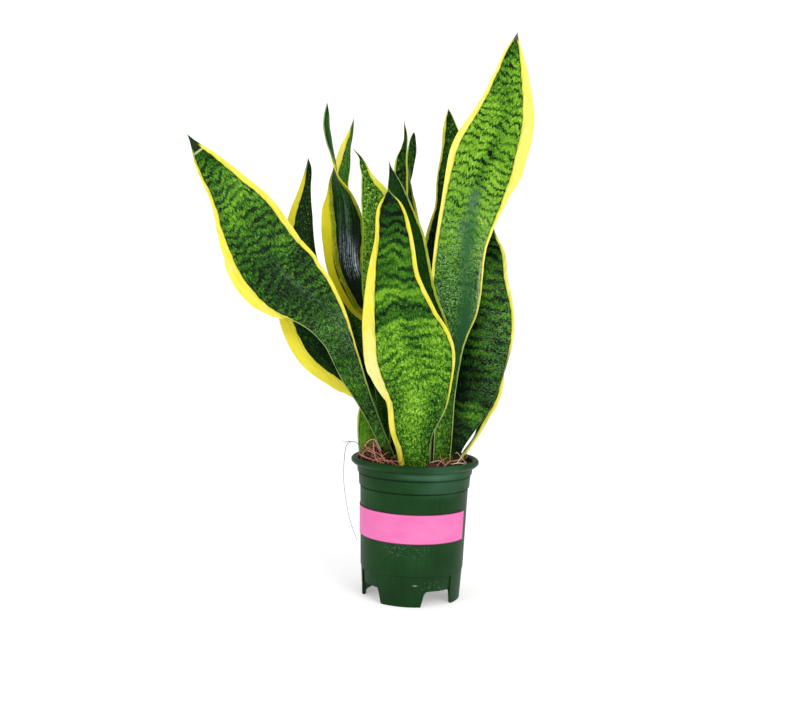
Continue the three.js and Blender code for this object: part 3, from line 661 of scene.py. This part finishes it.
def leafPaint(name, node, seed, length):
    look = {**leafLook, **leafLooks[node]}
    paint = Paint(name)
    along, across, rim = (paint.attribute(key) for key in ("along", "across", "rim"))
    inside = paint.attribute("insideLeft").least(paint.attribute("insideRight"))
    layer = paint.attribute("facing") * 5 + seed * 13
    left = across.rise(1, -1)
    up = along / length
    lean = along + across.size() * look["chevron"]

    def pattern(thin, long, offset, detail=2, roughness=0.5):
        # noise drawn out along the leaf: so many grains to the mm across it and along it
        place = paint.vector(across * thin, along * long, layer + offset)
        return paint.noise(place, 1, detail, roughness)

    def profile(key):
        stops = [(place, (value, value, value, 1)) for place, value in look[key]]
        return paint.ramp(lean / length, stops if len(stops) > 1 else stops * 2)

    # bands lie across the leaf, with edges drawn out along it like feathers
    feather = pattern(0.62, 0.09, 0, 3, 0.65) - 0.5
    drift = pattern(0.08, 0.04, 2, 1) - 0.5
    cells = pattern(0.12, 0.26, 4, 3, 0.7) - 0.5
    wave = (lean + feather * look["feather"] + drift * look["drift"]) * (2 * math.pi / look["bandStep"])
    band = (wave.sine() + cells * look["broken"] + look["bandDark"]).rise(-0.5, 0.5)
    band = band * (pattern(0.06, 0.07, 24).rise(0.32, 0.6) * 0.9 + 0.35)

    # how light the green is, from dark 0 to pale 1
    grain = (pattern(0.5, 0.32, 6, 4, 0.8) - 0.5) * 1.9
    fine = pattern(1.1, 0.75, 8) - 0.5
    ribs = pattern(1.3, 0.015, 16, 3) - 0.5
    light = profile("tone") - band * profile("bands") + (grain + fine) * profile("grain")
    light = light + pattern(1.0, 0.4, 18, 3, 0.7).rise(0.54, 0.68) * profile("flecks")
    light = light + ribs * look["ribs"] + (pattern(0.05, 0.04, 10, 1) - 0.5) * look["cloud"]
    for centre, width, side, sideWidth, amount in look["patches"]:
        light = light - up.hump(centre, width) * across.hump(side, sideWidth) * amount
    light = light - inside.hump(0.4, 0.9) * 0.16  # a dark line beside each margin
    green = paint.ramp(light, leafGreens)
    # pale strokes; then painted highlights where a leaf shines, and smooth stripes of a leaf's own tint
    strokes = pattern(0.5, 0.8, 20, 4, 0.8).rise(0.49, 0.62)
    frost = strokes * profile("frost") * across.hump(*look["frostSide"])
    frost = frost * (pattern(0.07, 0.07, 28).rise(0.35, 0.6) * 0.75 + 0.3)
    green = paint.blend(frost, green, look["frostTint"])
    for centre, width, side, sideWidth, amount, streaked, tint in look["sheensAndStripes"]:
        shine = up.hump(centre, width) * across.hump(side, sideWidth) * amount
        if streaked:
            shine = (shine * 2).least(1.0) * (ribs * 2.4 + grain * 0.5).rise(-0.05, 0.4)
        green = paint.blend(shine, green, tint)

    # the margins: yellow where they are broad, creamy in places, lined with green; a pale green where thin
    wobble = paint.noise(paint.vector(0.0, along * 0.11, layer + across.rise(-1, 1) * 9)) - 0.5
    edge = inside + wobble * 2.0 + feather * 0.6
    creamUp, creamWidth, creamStrength = look["creamAt"]
    pale = pattern(0.24, 0.1, 12).rise(0.48, 0.66) * 0.4
    if creamStrength:
        pale = pale.most(up.hump(creamUp, creamWidth) * left * creamStrength)
    margin = paint.blend(pale, look["yellow"], look["cream"])
    lined = pattern(1.5, 0.012, 14).rise(0.54, 0.62) * edge.rise(-5, -0.6) * look["streaks"]
    margin = paint.blend(lined, margin, look["lines"])
    shade = (pattern(0.5, 0.05, 22, 3) - 0.35 + edge.rise(-1.6, 0) * 0.35).rise(0.1, 0.5) * 0.55
    margin = paint.blend(shade, margin, look["shade"])
    mottled = (edge + look["haze"]).rise(-1.2, 1.2) * (grain * 0.8 + 0.62).rise(0.1, 0.7)
    margin = paint.blend(mottled * 0.85, margin, look["mottle"])
    inward, seamUp, seamWidth = look["seam"]
    if inward:
        seam = (inside + inward).hump(0, 1.1) * up.hump(seamUp, seamWidth) * left * 1.4
        margin = paint.blend(seam, margin, look["seamTint"])
    golden = pattern(0.3, 0.1, 26, 3, 0.7).rise(0.52, 0.66) * 0.5
    margin = paint.blend(golden, margin, look["golden"])
    margin = paint.blend(rim.rise(0.5, 0.1) * 0.2, margin, look["rim"])
    margin = paint.blend(paint.attribute("wide").rise(2.0, 1.0), margin, look["thin"])
    colour = paint.blend(edge.rise(0.15, -0.25), green, margin)
    if look["dryTip"]:
        dry = up.rise(1 - look["dryTip"], 1 - look["dryTip"] * 0.7)
        colour = paint.blend(dry, colour, look["dryColour"])
    return paint.finish({
        "Base Color": colour,
        "Roughness": look["roughness"] + fine * 0.25,
        "Normal": paint.bump(ribs + grain * 0.35, 0.00012),
        "Specular IOR Level": 0.08,
    })


def buildBlade(node, leaf, seed):
    blade = Blade(leaf, seed)
    steps, spans = leafForm["steps"], leafForm["spans"]
    shares = [-math.cos(math.pi * column / spans) for column in range(spans + 1)]
    facings = [0, *[1] * (spans - 1), 0, *[-1] * (spans - 1)]  # the two edges lie in neither face
    rings, rows = [], []
    along = 0
    last = blade.middle(0)
    for step in range(steps):
        here = blade.middle(step / steps)
        along += (here - last).length
        last = here
        front, back, details = blade.section(step / steps, along, shares)
        rings.append(front + back[-2:0:-1])
        rows += [(*detail, along, facing) for detail, facing in zip(details + details[-2:0:-1], facings)]
    tip = blade.middle(1)
    length = along + (tip - last).length
    rings.append([tip])
    rows.append((0, -1, -1, 0, 0, length, 0))
    name = "".join(word.capitalize() for word in node.split("_")[1:])
    mesh = loft("blade" + name, rings)
    keys = ("across", "insideLeft", "insideRight", "rim", "wide", "along", "facing")
    for key, values in zip(keys, zip(*rows)):
        setValues(mesh, key, values)
    placePiece(mesh, leafPaint("leaf" + name, node, seed, length), node)


for seed, (node, leaf) in enumerate(leaves.items()):
    buildBlade(node, leaf, seed)
print("leaves made:", len(leaves))


# the pot's wall from foot to rim as (radius, height) in mm
potOutside = [
    (39.4, 0), (40.9, 24), (41.4, 24.6), (43.6, 89), (44.6, 89.8), (45.2, 99.4), (46.2, 100.2),
    (46.6, 105), (49.4, 106.4), (51.5, 108.4), (51.5, 110.4), (50.2, 111.8), (48.2, 112), (46.4, 110.6),
]
potForm = {
    "rimRadius": 51.5, "footRadius": 39.4,
    "wall": 1.8, "skirtWall": 3.0,
    "floorTop": 15.5, "floorBottom": 13.0,
    "wallFoot": 30.0,  # above this height the wall is thin
    "steps": 208,  # facets round the pot
    "drainRadius": 3.0, "drainRing": 20.0, "drains": 6, "drainSteps": 32,
    "drainReach": 5.0,  # mm that a drain's cutter stands out of the floor
    "arches": 4, "archTurn": 32.0, "archHeight": 12.0, "archSteps": 16,
    "archFoot": 29.0, "archTop": 24.5, "archReach": 26.0,
    "archCorner": (1.6, 3.0),  # mm that its top drops at the ends, over so many mm
    "archRagged": (0.35, 1.7),  # mm that its top wanders, where the flash was trimmed, over so many mm
    "panelTop": 22.5, "panelDepth": 1.2, "panelReach": 9.0, "panelSteps": 12,
    "bend": 0.5,  # mm by which corners are rounded
    "bendShare": 0.45,  # the most that goes of a short side
    "bendSteps": 3,
    "plastic": [(0.3, (18, 54, 21)), (0.55, (23, 63, 26)), (0.75, (31, 73, 35))],
    # tints for a painted highlight on the rings, painted shade in the steps of the wall, pale dust, and a
    # darker green towards the foot
    "gleam": (96, 146, 122), "stepShadeTint": (5, 22, 10), "dust": (170, 196, 172), "dirt": (14, 34, 14),
}


def between(profile, height):
    for (r0, z0), (r1, z1) in zip(profile, profile[1:]):
        if z1 > height:
            return lerp(r0, r1, (height - z0) / (z1 - z0))
    return profile[-1][0]


def potRadius(height):
    return between(potOutside, height)


potInside = [
    (potRadius(potForm["floorTop"]) - potForm["skirtWall"], potForm["floorTop"]),
    (potRadius(potForm["wallFoot"]) - potForm["wall"], potForm["wallFoot"]), (42.6, 86), (45.5, 105),
]


def softened(profile):
    # the outline with its corners rounded off
    form = potForm
    steps = form["bendSteps"]
    result = []
    for index, corner in enumerate(profile):
        corner = Vector(corner)
        if corner.x == 0:
            result.append(corner)
            continue
        ends = []
        for other in (profile[index - 1], profile[index + 1]):
            side = Vector(other) - corner
            ends.append(corner + side.normalized() * min(form["bend"], side.length * form["bendShare"]))
        start, end = ends
        for step in range(steps + 1):
            share = step / steps
            result.append(lerp(lerp(start, corner, share), lerp(corner, end, share), share))
    return result


def archRings(seed):
    form = potForm
    drop, dropLength = form["archCorner"]
    ragged, raggedLength = form["archRagged"]
    top = []
    for step in range(form["archSteps"] + 1):
        x = lerp(form["archTop"], -form["archTop"], step / form["archSteps"]) / 2
        corner = drop * ease((abs(x) - form["archTop"] / 2 + dropLength) / dropLength)
        wander = ragged * noise.noise(Vector((x / raggedLength, seed, 0.5)))
        top.append((x, form["archHeight"] - corner + wander))
    outline = [(-form["archFoot"] / 2, -1), (form["archFoot"] / 2, -1)] + top
    near = -form["rimRadius"]
    return [[(x, near + depth, z) for x, z in outline] for depth in (0, form["archReach"])]


def panelRings():
    # a curved slab sunk into the wall above an arch; its inner face follows the wall
    form = potForm
    low, high = form["archHeight"] - 1, form["panelTop"]
    rings = []
    for step in range(form["panelSteps"] + 1):
        x = lerp(-form["archTop"], form["archTop"], step / form["panelSteps"]) / 2
        ring = []
        for height, reach in ((low, 0), (low, form["panelReach"]), (high, form["panelReach"]), (high, 0)):
            radius = potRadius(height) - form["panelDepth"] + reach
            ring.append((x, -math.sqrt(radius * radius - x * x), height))
        rings.append(ring)
    return rings


def drainRings():
    form = potForm
    radius = form["drainRadius"]
    angles = anglesRound(form["drainSteps"])
    circle = [(form["drainRing"] + radius * math.cos(angle), radius * math.sin(angle)) for angle in angles]
    heights = (form["floorBottom"] - form["drainReach"], form["floorTop"] + form["drainReach"])
    return [[(x, y, height) for x, y in circle] for height in heights]


def carve(mesh, cutters, name):
    holder = putInScene("uncut", mesh)
    knives = [putInScene("cutter", cutter) for cutter in cutters]
    for knife in knives:
        cut = holder.modifiers.new("cut", "BOOLEAN")
        cut.object = knife
        cut.operation = "DIFFERENCE"
        cut.solver = "MANIFOLD"
    carved = plainMesh(holder, name)
    for knife in knives:
        bpy.data.objects.remove(knife)
    return carved


def plasticPaint(name):
    paint = Paint(name)
    place = paint.millimetres()
    x, y, z = (paint.part(place, axis) for axis in range(3))
    cloud = paint.noise(place, 0.045)
    flow = paint.noise(paint.join("MULTIPLY", place, (0.5, 0.5, 0.02)), 1, 3)
    base = paint.ramp(cloud * 0.7 + flow * 0.3, potForm["plastic"])
    # painted shade lines in the steps of the wall, and a painted gleam of light on the rings under the rim
    stepShade = z.hump(99.4, 1.3) + z.hump(89.0, 1.3) + z.hump(105.6, 1.0) * 0.6 + z.hump(24.1, 0.6) * 0.6
    front = y.rise(0, -16)
    gleam = z.hump(103.2, 3.6) * x.hump(8, 38) * 0.5 + z.rise(84, 90) * x.hump(20, 26) * 0.34
    base = paint.blend(gleam * front * cloud, base, potForm["gleam"])
    base = paint.blend(stepShade * (x.hump(0, 60) * 0.55 + 0.3), base, potForm["stepShadeTint"])
    # pale specks of dust below the label and above the arches, and a few elsewhere
    dots = paint.noise(place, 1.3, 3, 0.75)
    dusty = (z.hump(45, 9) * x.hump(-8, 30) + z.hump(16, 8) * x.hump(18, 22)) * front
    marks = dots.rise(0.59, 0.67) * dusty * 1.3 + dots.rise(0.7, 0.75) * 0.6
    marks = marks.most(z.hump(17.5, 0.9) * x.hump(2.5, 2.6) * front * 1.4)
    scuff = paint.noise(paint.join("MULTIPLY", place, (0.35, 0.35, 1.6)), 1, 3, 0.6).rise(0.68, 0.76)
    marked = paint.blend(marks * 0.6 + scuff * 0.1, base, potForm["dust"])
    # darker towards the foot: blotches that grow below 20 mm, and a smooth darkening that grows from 46 mm
    # down to 8 mm
    lowerDarkening = paint.noise(place, 0.35, 3, 0.6).rise(0.55, 0.75) * z.rise(20, 2) * 0.5
    marked = paint.blend(lowerDarkening.most(z.rise(46, 8) * 0.3), marked, potForm["dirt"])
    fine = paint.noise(place, 3.2)
    return paint.finish({
        "Base Color": marked,
        "Roughness": 0.4 + fine * 0.12 + marks * 0.3 + stepShade * 0.6,
        "Normal": paint.bump(fine * 0.5 + cloud * 2, 0.00006),
        "Specular IOR Level": 0.09,
    })


def buildPot(material):
    form = potForm
    skirtInside = potRadius(form["floorBottom"]) - form["skirtWall"]
    profile = [(0, form["floorBottom"]), (skirtInside, form["floorBottom"])]
    profile += [(form["footRadius"] - form["skirtWall"], 0)]
    profile += potOutside + potInside[::-1] + [(0, form["floorTop"])]
    shell = loft("shell", [ringAt(radius, height, form["steps"]) for radius, height in softened(profile)])
    cutters = []
    for foot in range(form["arches"]):
        turn = math.radians(form["archTurn"] + 360 * foot / form["arches"])
        cutters += [loft("arch", archRings(foot), turn=turn), loft("panel", panelRings(), turn=turn)]
    for hole in range(form["drains"]):
        cutters.append(loft("drain", drainRings(), turn=2 * math.pi * (hole + 0.5) / form["drains"]))
    placePiece(carve(shell, cutters, "nurseryPot"), material, "pot", 32)


buildPot(plasticPaint("potPlastic"))
print("pot made")


labelForm = {
    "bottom": 50.0, "top": 73.4, "gap": 0.2, "thick": 0.35,
    "turn": -24.0, "steps": 120, "corner": 0.6,
    "radius": 42,  # of the pot under the label, about, for the width of its rounded corners
    # edge: the tint of painted shade lines along the label's top and bottom
    "film": [(0.3, (232, 110, 174)), (0.7, (240, 126, 188))], "edge": (84, 30, 62),
}


def labelPaint(name):
    paint = Paint(name)
    place = paint.millimetres()
    z = paint.part(place, 2)
    cloud = paint.noise(paint.join("MULTIPLY", place, (0.04, 0.04, 0.12)))
    fine = paint.noise(place, 2.2)
    # painted shade along the top and bottom edges, where the label stands off the pot
    edges = z.hump(labelForm["bottom"], 1.0) + z.hump(labelForm["top"], 1.0)
    return paint.finish({
        "Base Color": paint.blend(edges, paint.ramp(cloud, labelForm["film"]), labelForm["edge"]),
        "Roughness": 0.5 + fine * 0.1,
        "Normal": paint.bump(cloud + fine * 0.2, 0.00008),
        "Specular IOR Level": 0.15,
    })


def buildLabel(material):
    # a bare band, half the way round the pot
    form = labelForm
    steps = form["steps"]
    rings = []
    for step in range(steps + 1):
        angle = math.radians(form["turn"]) + lerp(-math.pi / 2, math.pi / 2, step / steps)
        arc = min(step, steps - step) / steps * math.pi * form["radius"]
        inset = form["corner"] * (1 - math.sqrt(1 - (1 - clamp(arc / form["corner"])) ** 2))
        low, high = form["bottom"] + inset, form["top"] - inset
        ring = []
        for height, out in ((low, 0), (low, 1), (high, 1), (high, 0)):
            radius = potRadius(height) + form["gap"] + out * form["thick"]
            ring.append((radius * math.sin(angle), -radius * math.cos(angle), height))
        rings.append(ring)
    placePiece(loft("labelBand", rings), material, "label", 40)


buildLabel(labelPaint("labelFilm"))
print("label made")


soilForm = {
    "top": 107.6, "mound": 1.6, "lump": 0.9, "gap": 0.35,
    "wallHeights": (15.85, 30, 86, 104.6),  # where the bed's side bends with the pot's inside
    "rings": 64, "steps": 240,
    "clods": 1.5, "clodSize": 6.0,  # mm
    "crumbs": 0.55, "crumbSize": 2.2,
    "heaped": 0.7,  # share of a heap that is filled with soil
    "sparse": 0.1,  # how thickly fibres lie away from the heaps
    "sheetSlope": 0.3,  # faces that look up less than this are not in the sheet that fibres grow on
    "sheetHeight": 0.1,  # metres; nor are those that lie lower
    "earth": [(0.32, (10, 6, 4)), (0.46, (26, 14, 10)), (0.58, (50, 28, 20)), (0.7, (92, 56, 40))],
}
fibreHeaps = [  # (x, y, reach, how thick, how high) in mm from the pot's axis
    (-33, -8, 20, 1.0, 13.0), (-26, -28, 18, 1.0, 4.0), (19, -31, 14, 0.65, 5.0), (34, -20, 15, 0.45, 3.0),
    (0, 30, 26, 0.35, 0.0), (30, 24, 18, 0.5, 0.0), (-30, 20, 20, 0.5, 2.0),
]


def heapAt(x, y, column):
    # how thickly (column 3) fibres lie at a place, or how high (column 4) they are heaped there
    return max(heap[column] * ease(1 - math.hypot(x - heap[0], y - heap[1]) / heap[2]) for heap in fibreHeaps)


def soilHeight(x, y, edge):
    form = soilForm
    distance = math.hypot(x, y) / edge
    height = form["top"] + form["mound"] * (1 - distance * distance)
    height += form["lump"] * math.sin(x * 0.31 + 1.3) * math.cos(y * 0.27)
    height += form["lump"] * 0.6 * math.sin(x * 0.13 - y * 0.41 + 0.5)
    height += form["clods"] * noise.noise(Vector((x, y, 7)) / form["clodSize"])
    height += form["crumbs"] * noise.noise(Vector((x, y, 3)) / form["crumbSize"])
    return height + form["heaped"] * heapAt(x, y, 4)


def soilPaint(name):
    paint = Paint(name)
    place = paint.millimetres()
    clod = paint.noise(place, 0.28, 4, 0.65)
    grain = paint.noise(place, 1.6, 3, 0.7)
    return paint.finish({
        "Base Color": paint.ramp(clod * 0.6 + grain * 0.4, soilForm["earth"]),
        "Roughness": 0.85 + grain * 0.15,
        "Normal": paint.bump(grain + clod, 0.0006),
    })


def buildSoil(material):
    # the bed, and the open sheet of its top that fibres and crumbs grow on
    form = soilForm
    wall = [(between(potInside, z) - form["gap"], z) for z in form["wallHeights"]]
    edge = wall[-1][0]
    rings = [ringAt(0, wall[0][1], 1)]
    rings += [ringAt(radius, height, form["steps"]) for radius, height in wall]
    for index in range(form["rings"] - 1, -1, -1):
        ring = ringAt(edge * index / form["rings"], 0, form["steps"])
        rings.append([(x, y, soilHeight(x, y, edge)) for x, y, z in ring])
    bed = loft("soilBed", rings)
    sheet = bmesh.new()
    sheet.from_mesh(bed)
    hidden = [
        face for face in sheet.faces
        if face.normal.z < form["sheetSlope"] or face.calc_center_median().z < form["sheetHeight"]
    ]
    bmesh.ops.delete(sheet, geom=hidden, context="FACES")
    top = bpy.data.meshes.new("soilTop")
    sheet.to_mesh(top)
    sheet.free()
    places = [(vertex.co - potAxis) / mm for vertex in top.vertices]
    setValues(top, "heap", [max(form["sparse"], heapAt(place.x, place.y, 3)) for place in places])
    placePiece(bed, material, "soil")
    return top


fullTurn = 6.283
fibreForm = {  # lengths in metres
    "density": 120000.0,  # fibres to the square metre where they are thickest
    "length": 0.019, "shortest": 0.45, "longest": 1.5,  # the last two are shares of the length
    "radius": 0.00022,
    "tilt": 0.7,  # radians up or down
    "lift": 0.0025,
    "curl": 0.0045, "curlSize": 0.014,
    "limit": 0.0445,  # how far from the axis a fibre may reach
    "seed": 11,
}
crumbForm = {
    "density": 260000.0,
    "size": 0.0009, "smallest": 0.35, "largest": 1.5,  # the last two are shares of the size
    "seed": 5,
}


def fibrePaint(name, dark, mid, light):
    paint = Paint(name)
    place = paint.millimetres()
    shade = paint.noise(place, 0.5, 3, 0.7)
    tone = shade * 0.5 + paint.attribute("strand") * 0.7
    return paint.finish({
        "Base Color": paint.ramp(tone, [(0.25, dark), (0.6, mid), (0.9, light)]),
        "Roughness": 0.62 + shade * 0.2,
        "Normal": paint.bump(paint.noise(place, 6), 0.00005),
    })


def growFibres(host, material):
    growth = Growth("coirFibres", fibreForm)
    heap = growth.add("GeometryNodeInputNamedAttribute", {"data_type": "FLOAT"}, {"Name": "heap"})
    points = growth.scatter(growth.input("density") * heap)
    ends = {"Start": (-0.5, 0, 0), "End": (0.5, 0, 0)}
    strand = growth.add("GeometryNodeCurvePrimitiveLine", {"mode": "POINTS"}, ends)
    strand = growth.add("GeometryNodeResampleCurve", None, {"Curve": strand, "Count": 9})
    tilt = growth.input("tilt")
    turn = growth.vector(0.0, growth.random(tilt * -1, tilt, 1), growth.random(0.0, fullTurn, 2))
    size = growth.input("length") * growth.random(growth.input("shortest"), growth.input("longest"), 3)
    lift = growth.random(0.0, 1.0, 4) * heap * growth.input("lift")
    points = growth.move(points, growth.vector(0.0, 0.0, lift))
    values = {"Geometry": points, "Name": "strand", "Value": growth.random(0.0, 1.0, 5)}
    points = growth.add("GeometryNodeStoreNamedAttribute", {"data_type": "FLOAT", "domain": "POINT"}, values)
    strands = growth.strew(points, strand, turn, growth.vector(size, size, size))
    curves = growth.add("GeometryNodeRealizeInstances", None, {0: strands})
    place = growth.add("GeometryNodeInputPosition")
    eddy = growth.join("DIVIDE", place, growth.vector(*[growth.input("curlSize")] * 3))
    # the noise is about a half on average, so fibres curl all ways, and a little more up than down
    swirl = growth.join("SUBTRACT", growth.noise(eddy, 1, 1, 0.5, 1), (0.5, 0.5, 0.42))
    curves = growth.move(curves, growth.join("SCALE", swirl, growth.input("curl") * 3))
    # nothing reaches into the pot's wall
    flat = growth.join("MULTIPLY", growth.join("SUBTRACT", place, potAxis), (1, 1, 0))
    reach = growth.join("LENGTH", flat, (0, 0, 0), 1)
    pull = 1 - (growth.input("limit") / reach.most(0.001)).least(1.0)
    curves = growth.move(curves, growth.join("SCALE", flat, pull * -1))
    values = {"Resolution": 3, "Radius": growth.input("radius")}
    ring = growth.add("GeometryNodeCurvePrimitiveCircle", None, values)
    values = {"Curve": curves, "Profile Curve": ring, "Fill Caps": True}
    tubes = growth.add("GeometryNodeCurveToMesh", None, values)
    placePiece(growth.grow(host, tubes, material), material)


def growCrumbs(host, material):
    growth = Growth("soilCrumbs", crumbForm)
    points = growth.scatter(growth.input("density"))
    crumb = growth.add("GeometryNodeMeshIcoSphere", None, {"Radius": 1.0, "Subdivisions": 1})
    turn = growth.vector(*(growth.random(0.0, fullTurn, draw) for draw in (1, 2, 3)))
    size = growth.input("size") * growth.random(growth.input("smallest"), growth.input("largest"), 4)
    flat = growth.vector(size, size * growth.random(0.5, 1.0, 5), size * growth.random(0.4, 0.9, 6))
    crumbs = growth.strew(points, crumb, turn, flat)
    placePiece(growth.grow(host, crumbs, material), material)


strandForm = {
    "radius": 0.34, "sides": 6, "steps": 10,  # mm; steps to each of its places
    "taper": 0.5,  # share of the radius that is left at the end
    "darkest": 0.35, "lightest": 0.85,  # where in the paint's ramp strands lie, in turn
}
# each strand runs through these places, in mm from the foot of the pot's axis
looseStrands = [
    [(-46.2, -8, 110), (-45.6, -12, 114.6), (-41.1, -22, 115), (-35.3, -32, 114.2), (-24.3, -40, 112.6)],
    [(-32.8, -11, 127), (-31.8, -14, 125), (-29.8, -20, 121.2), (-26.4, -28, 116.1), (-23.6, -36, 112.6)],
    [(-34.2, -10, 124), (-33.6, -12, 122.7), (-32.7, -22, 117.8), (-30.5, -33, 113.6)],
    [(-43.5, -22, 115.4), (-37.9, -30, 114.3), (-30.7, -36, 113.6), (-24, -39, 111.6)],
    [(-39.5, -12, 120.3), (-33.7, -20, 118.5), (-28, -26, 116.4), (-20.6, -38, 111.6)],
    [(-40.6, -9, 121), (-38.1, -10, 124.5), (-35, -12, 126.4), (-31.7, -16, 126.1), (-27.3, -24, 119.4)],
    [(-25, -36, 114), (-19.1, -38, 113.3), (-14.2, -41, 111)],
    [(-38, -18, 118.5), (-33, -26, 117.5), (-27, -33, 114)],
    [(11.8, -34, 113), (17.9, -34, 114.6), (22.5, -37, 112.5)],
    [(16.2, -42, 111.6), (20.2, -36, 115.4), (25, -30, 116.8)],
    [(22, -38, 111), (27, -33, 114.5), (33, -26, 114)],
]
paleStrands = [
    [(31.6, -18, 118.4), (32.8, -20, 119.3), (36.2, -26, 116), (39.6, -30, 112.6)],
    [(32.1, -32, 113), (35.6, -26, 117), (37.7, -20, 120.1)],
    [(28, -36, 112.6), (33.6, -34, 113.4), (39, -29, 112)],
]
greyStrands = [
    [
        (-38, -12, 108), (-42, -13, 117), (-46.7, -14, 123.6), (-51.5, -14, 124.4), (-54.6, -14, 122.1),
        (-55.7, -14, 118.8), (-56.4, -14, 111.2), (-56.6, -14, 101.6), (-56, -14, 89.6), (-54.1, -14, 77.6),
        (-50.4, -14.5, 61.7), (-44.3, -15.5, 46),
    ],
    [(-51.2, -14, 124.3), (-53.6, -14, 124.8), (-56.3, -14, 123.9), (-58.7, -14, 125.4)],
]


def buildStrands(name, paths, material):
    form = strandForm
    bodies, tones = [], []
    for index, path in enumerate(paths):
        path = [Vector(point) for point in path]
        count = form["steps"] * len(path)
        spots = [alongRows(path, step / count, True) for step in range(count + 1)]
        rings = []
        for step, spot in enumerate(spots):
            heading = (spots[min(step + 1, count)] - spots[max(step - 1, 0)]).normalized()
            out = heading.cross(Vector((0.2, 1, 0.1))).normalized()
            side = heading.cross(out)
            radius = form["radius"] * lerp(1, form["taper"], step / count)
            edges = [out * math.cos(angle) + side * math.sin(angle) for angle in anglesRound(form["sides"])]
            rings.append([spot + edge * radius for edge in edges])
        bodies.append(rings)
        tones += [lerp(form["darkest"], form["lightest"], index % 3 / 2)] * (form["sides"] * len(rings))
    mesh = loft(name, *bodies)
    setValues(mesh, "strand", tones)
    placePiece(mesh, material)


soilTop = buildSoil(soilPaint("soilEarth"))
growFibres(soilTop, fibrePaint("coirFibre", (48, 18, 12), (140, 62, 42), (240, 166, 134)))
growCrumbs(soilTop, fibrePaint("soilCrumb", (16, 9, 7), (50, 28, 20), (104, 64, 46)))
for name, paths, paintName, tints in (
    ("looseStrands", looseStrands, "redStrand", ((160, 84, 62), (222, 134, 108), (252, 206, 182))),
    ("paleStrands", paleStrands, "paleStrand", ((196, 170, 130), (226, 206, 170), (240, 226, 200))),
    ("greyStrands", greyStrands, "greyStrand", ((84, 78, 70), (108, 102, 94), (136, 130, 122))),
):
    buildStrands(name, paths, fibrePaint(paintName, *tints))
print("soil made")


stageLook = {
    "floorRadius": 9.0,
    "shine": 0.36,  # light that the floor gives off
    "sky": 0.7,  # light from the white surroundings
    "white": 0.5,  # how much whiter they look than they shine
    "aim": Vector((0, 0, 0.2)),  # metres from the foot of the pot's axis
    "lights": [
        # place in metres from the pot's axis, size in metres, watts, colour
        ((1.1, -1.7, 1.5), 1.3, 18.0, (1.0, 0.98, 0.95)),
        ((-1.5, -1.2, 0.9), 1.2, 6.0, (0.93, 0.96, 1.0)),
    ],
}


def floorPaint(name):
    paint = Paint(name)
    cloud = paint.noise(paint.millimetres(), 0.002)
    return paint.finish({
        "Base Color": paint.ramp(cloud, [(0.3, (0.93, 0.93, 0.93, 1)), (0.7, (0.96, 0.96, 0.96, 1))]),
        "Roughness": 0.9, "Specular IOR Level": 0.0,
        "Emission Color": (1, 1, 1, 1), "Emission Strength": stageLook["shine"],
    })


def buildStage(look):
    mesh = bmesh.new()
    bmesh.ops.create_circle(mesh, cap_ends=True, segments=128, radius=look["floorRadius"])
    mesh.transform(Matrix.Translation(potAxis))
    sheet = bpy.data.meshes.new("floorSheet")
    mesh.to_mesh(sheet)
    mesh.free()
    sheet.materials.append(floorPaint("floorWhite"))
    putInScene("floorSheet", sheet)
    for index, (place, size, power, colour) in enumerate(look["lights"]):
        lamp = bpy.data.lights.new(f"softLight{index}", "AREA")
        lamp.shape = "DISK"
        lamp.size = size
        lamp.energy = power
        lamp.color = colour
        turn = (look["aim"] - Vector(place)).to_track_quat("-Z", "Y").to_matrix().to_4x4()
        putInScene(lamp.name, lamp).matrix_world = Matrix.Translation(potAxis + Vector(place)) @ turn
    world = bpy.data.worlds.new("whiteRoom")
    world.use_nodes = True
    room = Tree(world.node_tree)
    seen = room.add("ShaderNodeLightPath", output="Is Camera Ray")
    background = room.tree.nodes["Background"]
    room.put(background.inputs["Color"], (1, 1, 1, 1))
    room.put(background.inputs["Strength"], seen * look["white"] + look["sky"])
    bpy.context.scene.world = world
    bpy.context.scene.view_settings.view_transform = "Standard"


buildStage(stageLook)
print("stage set")
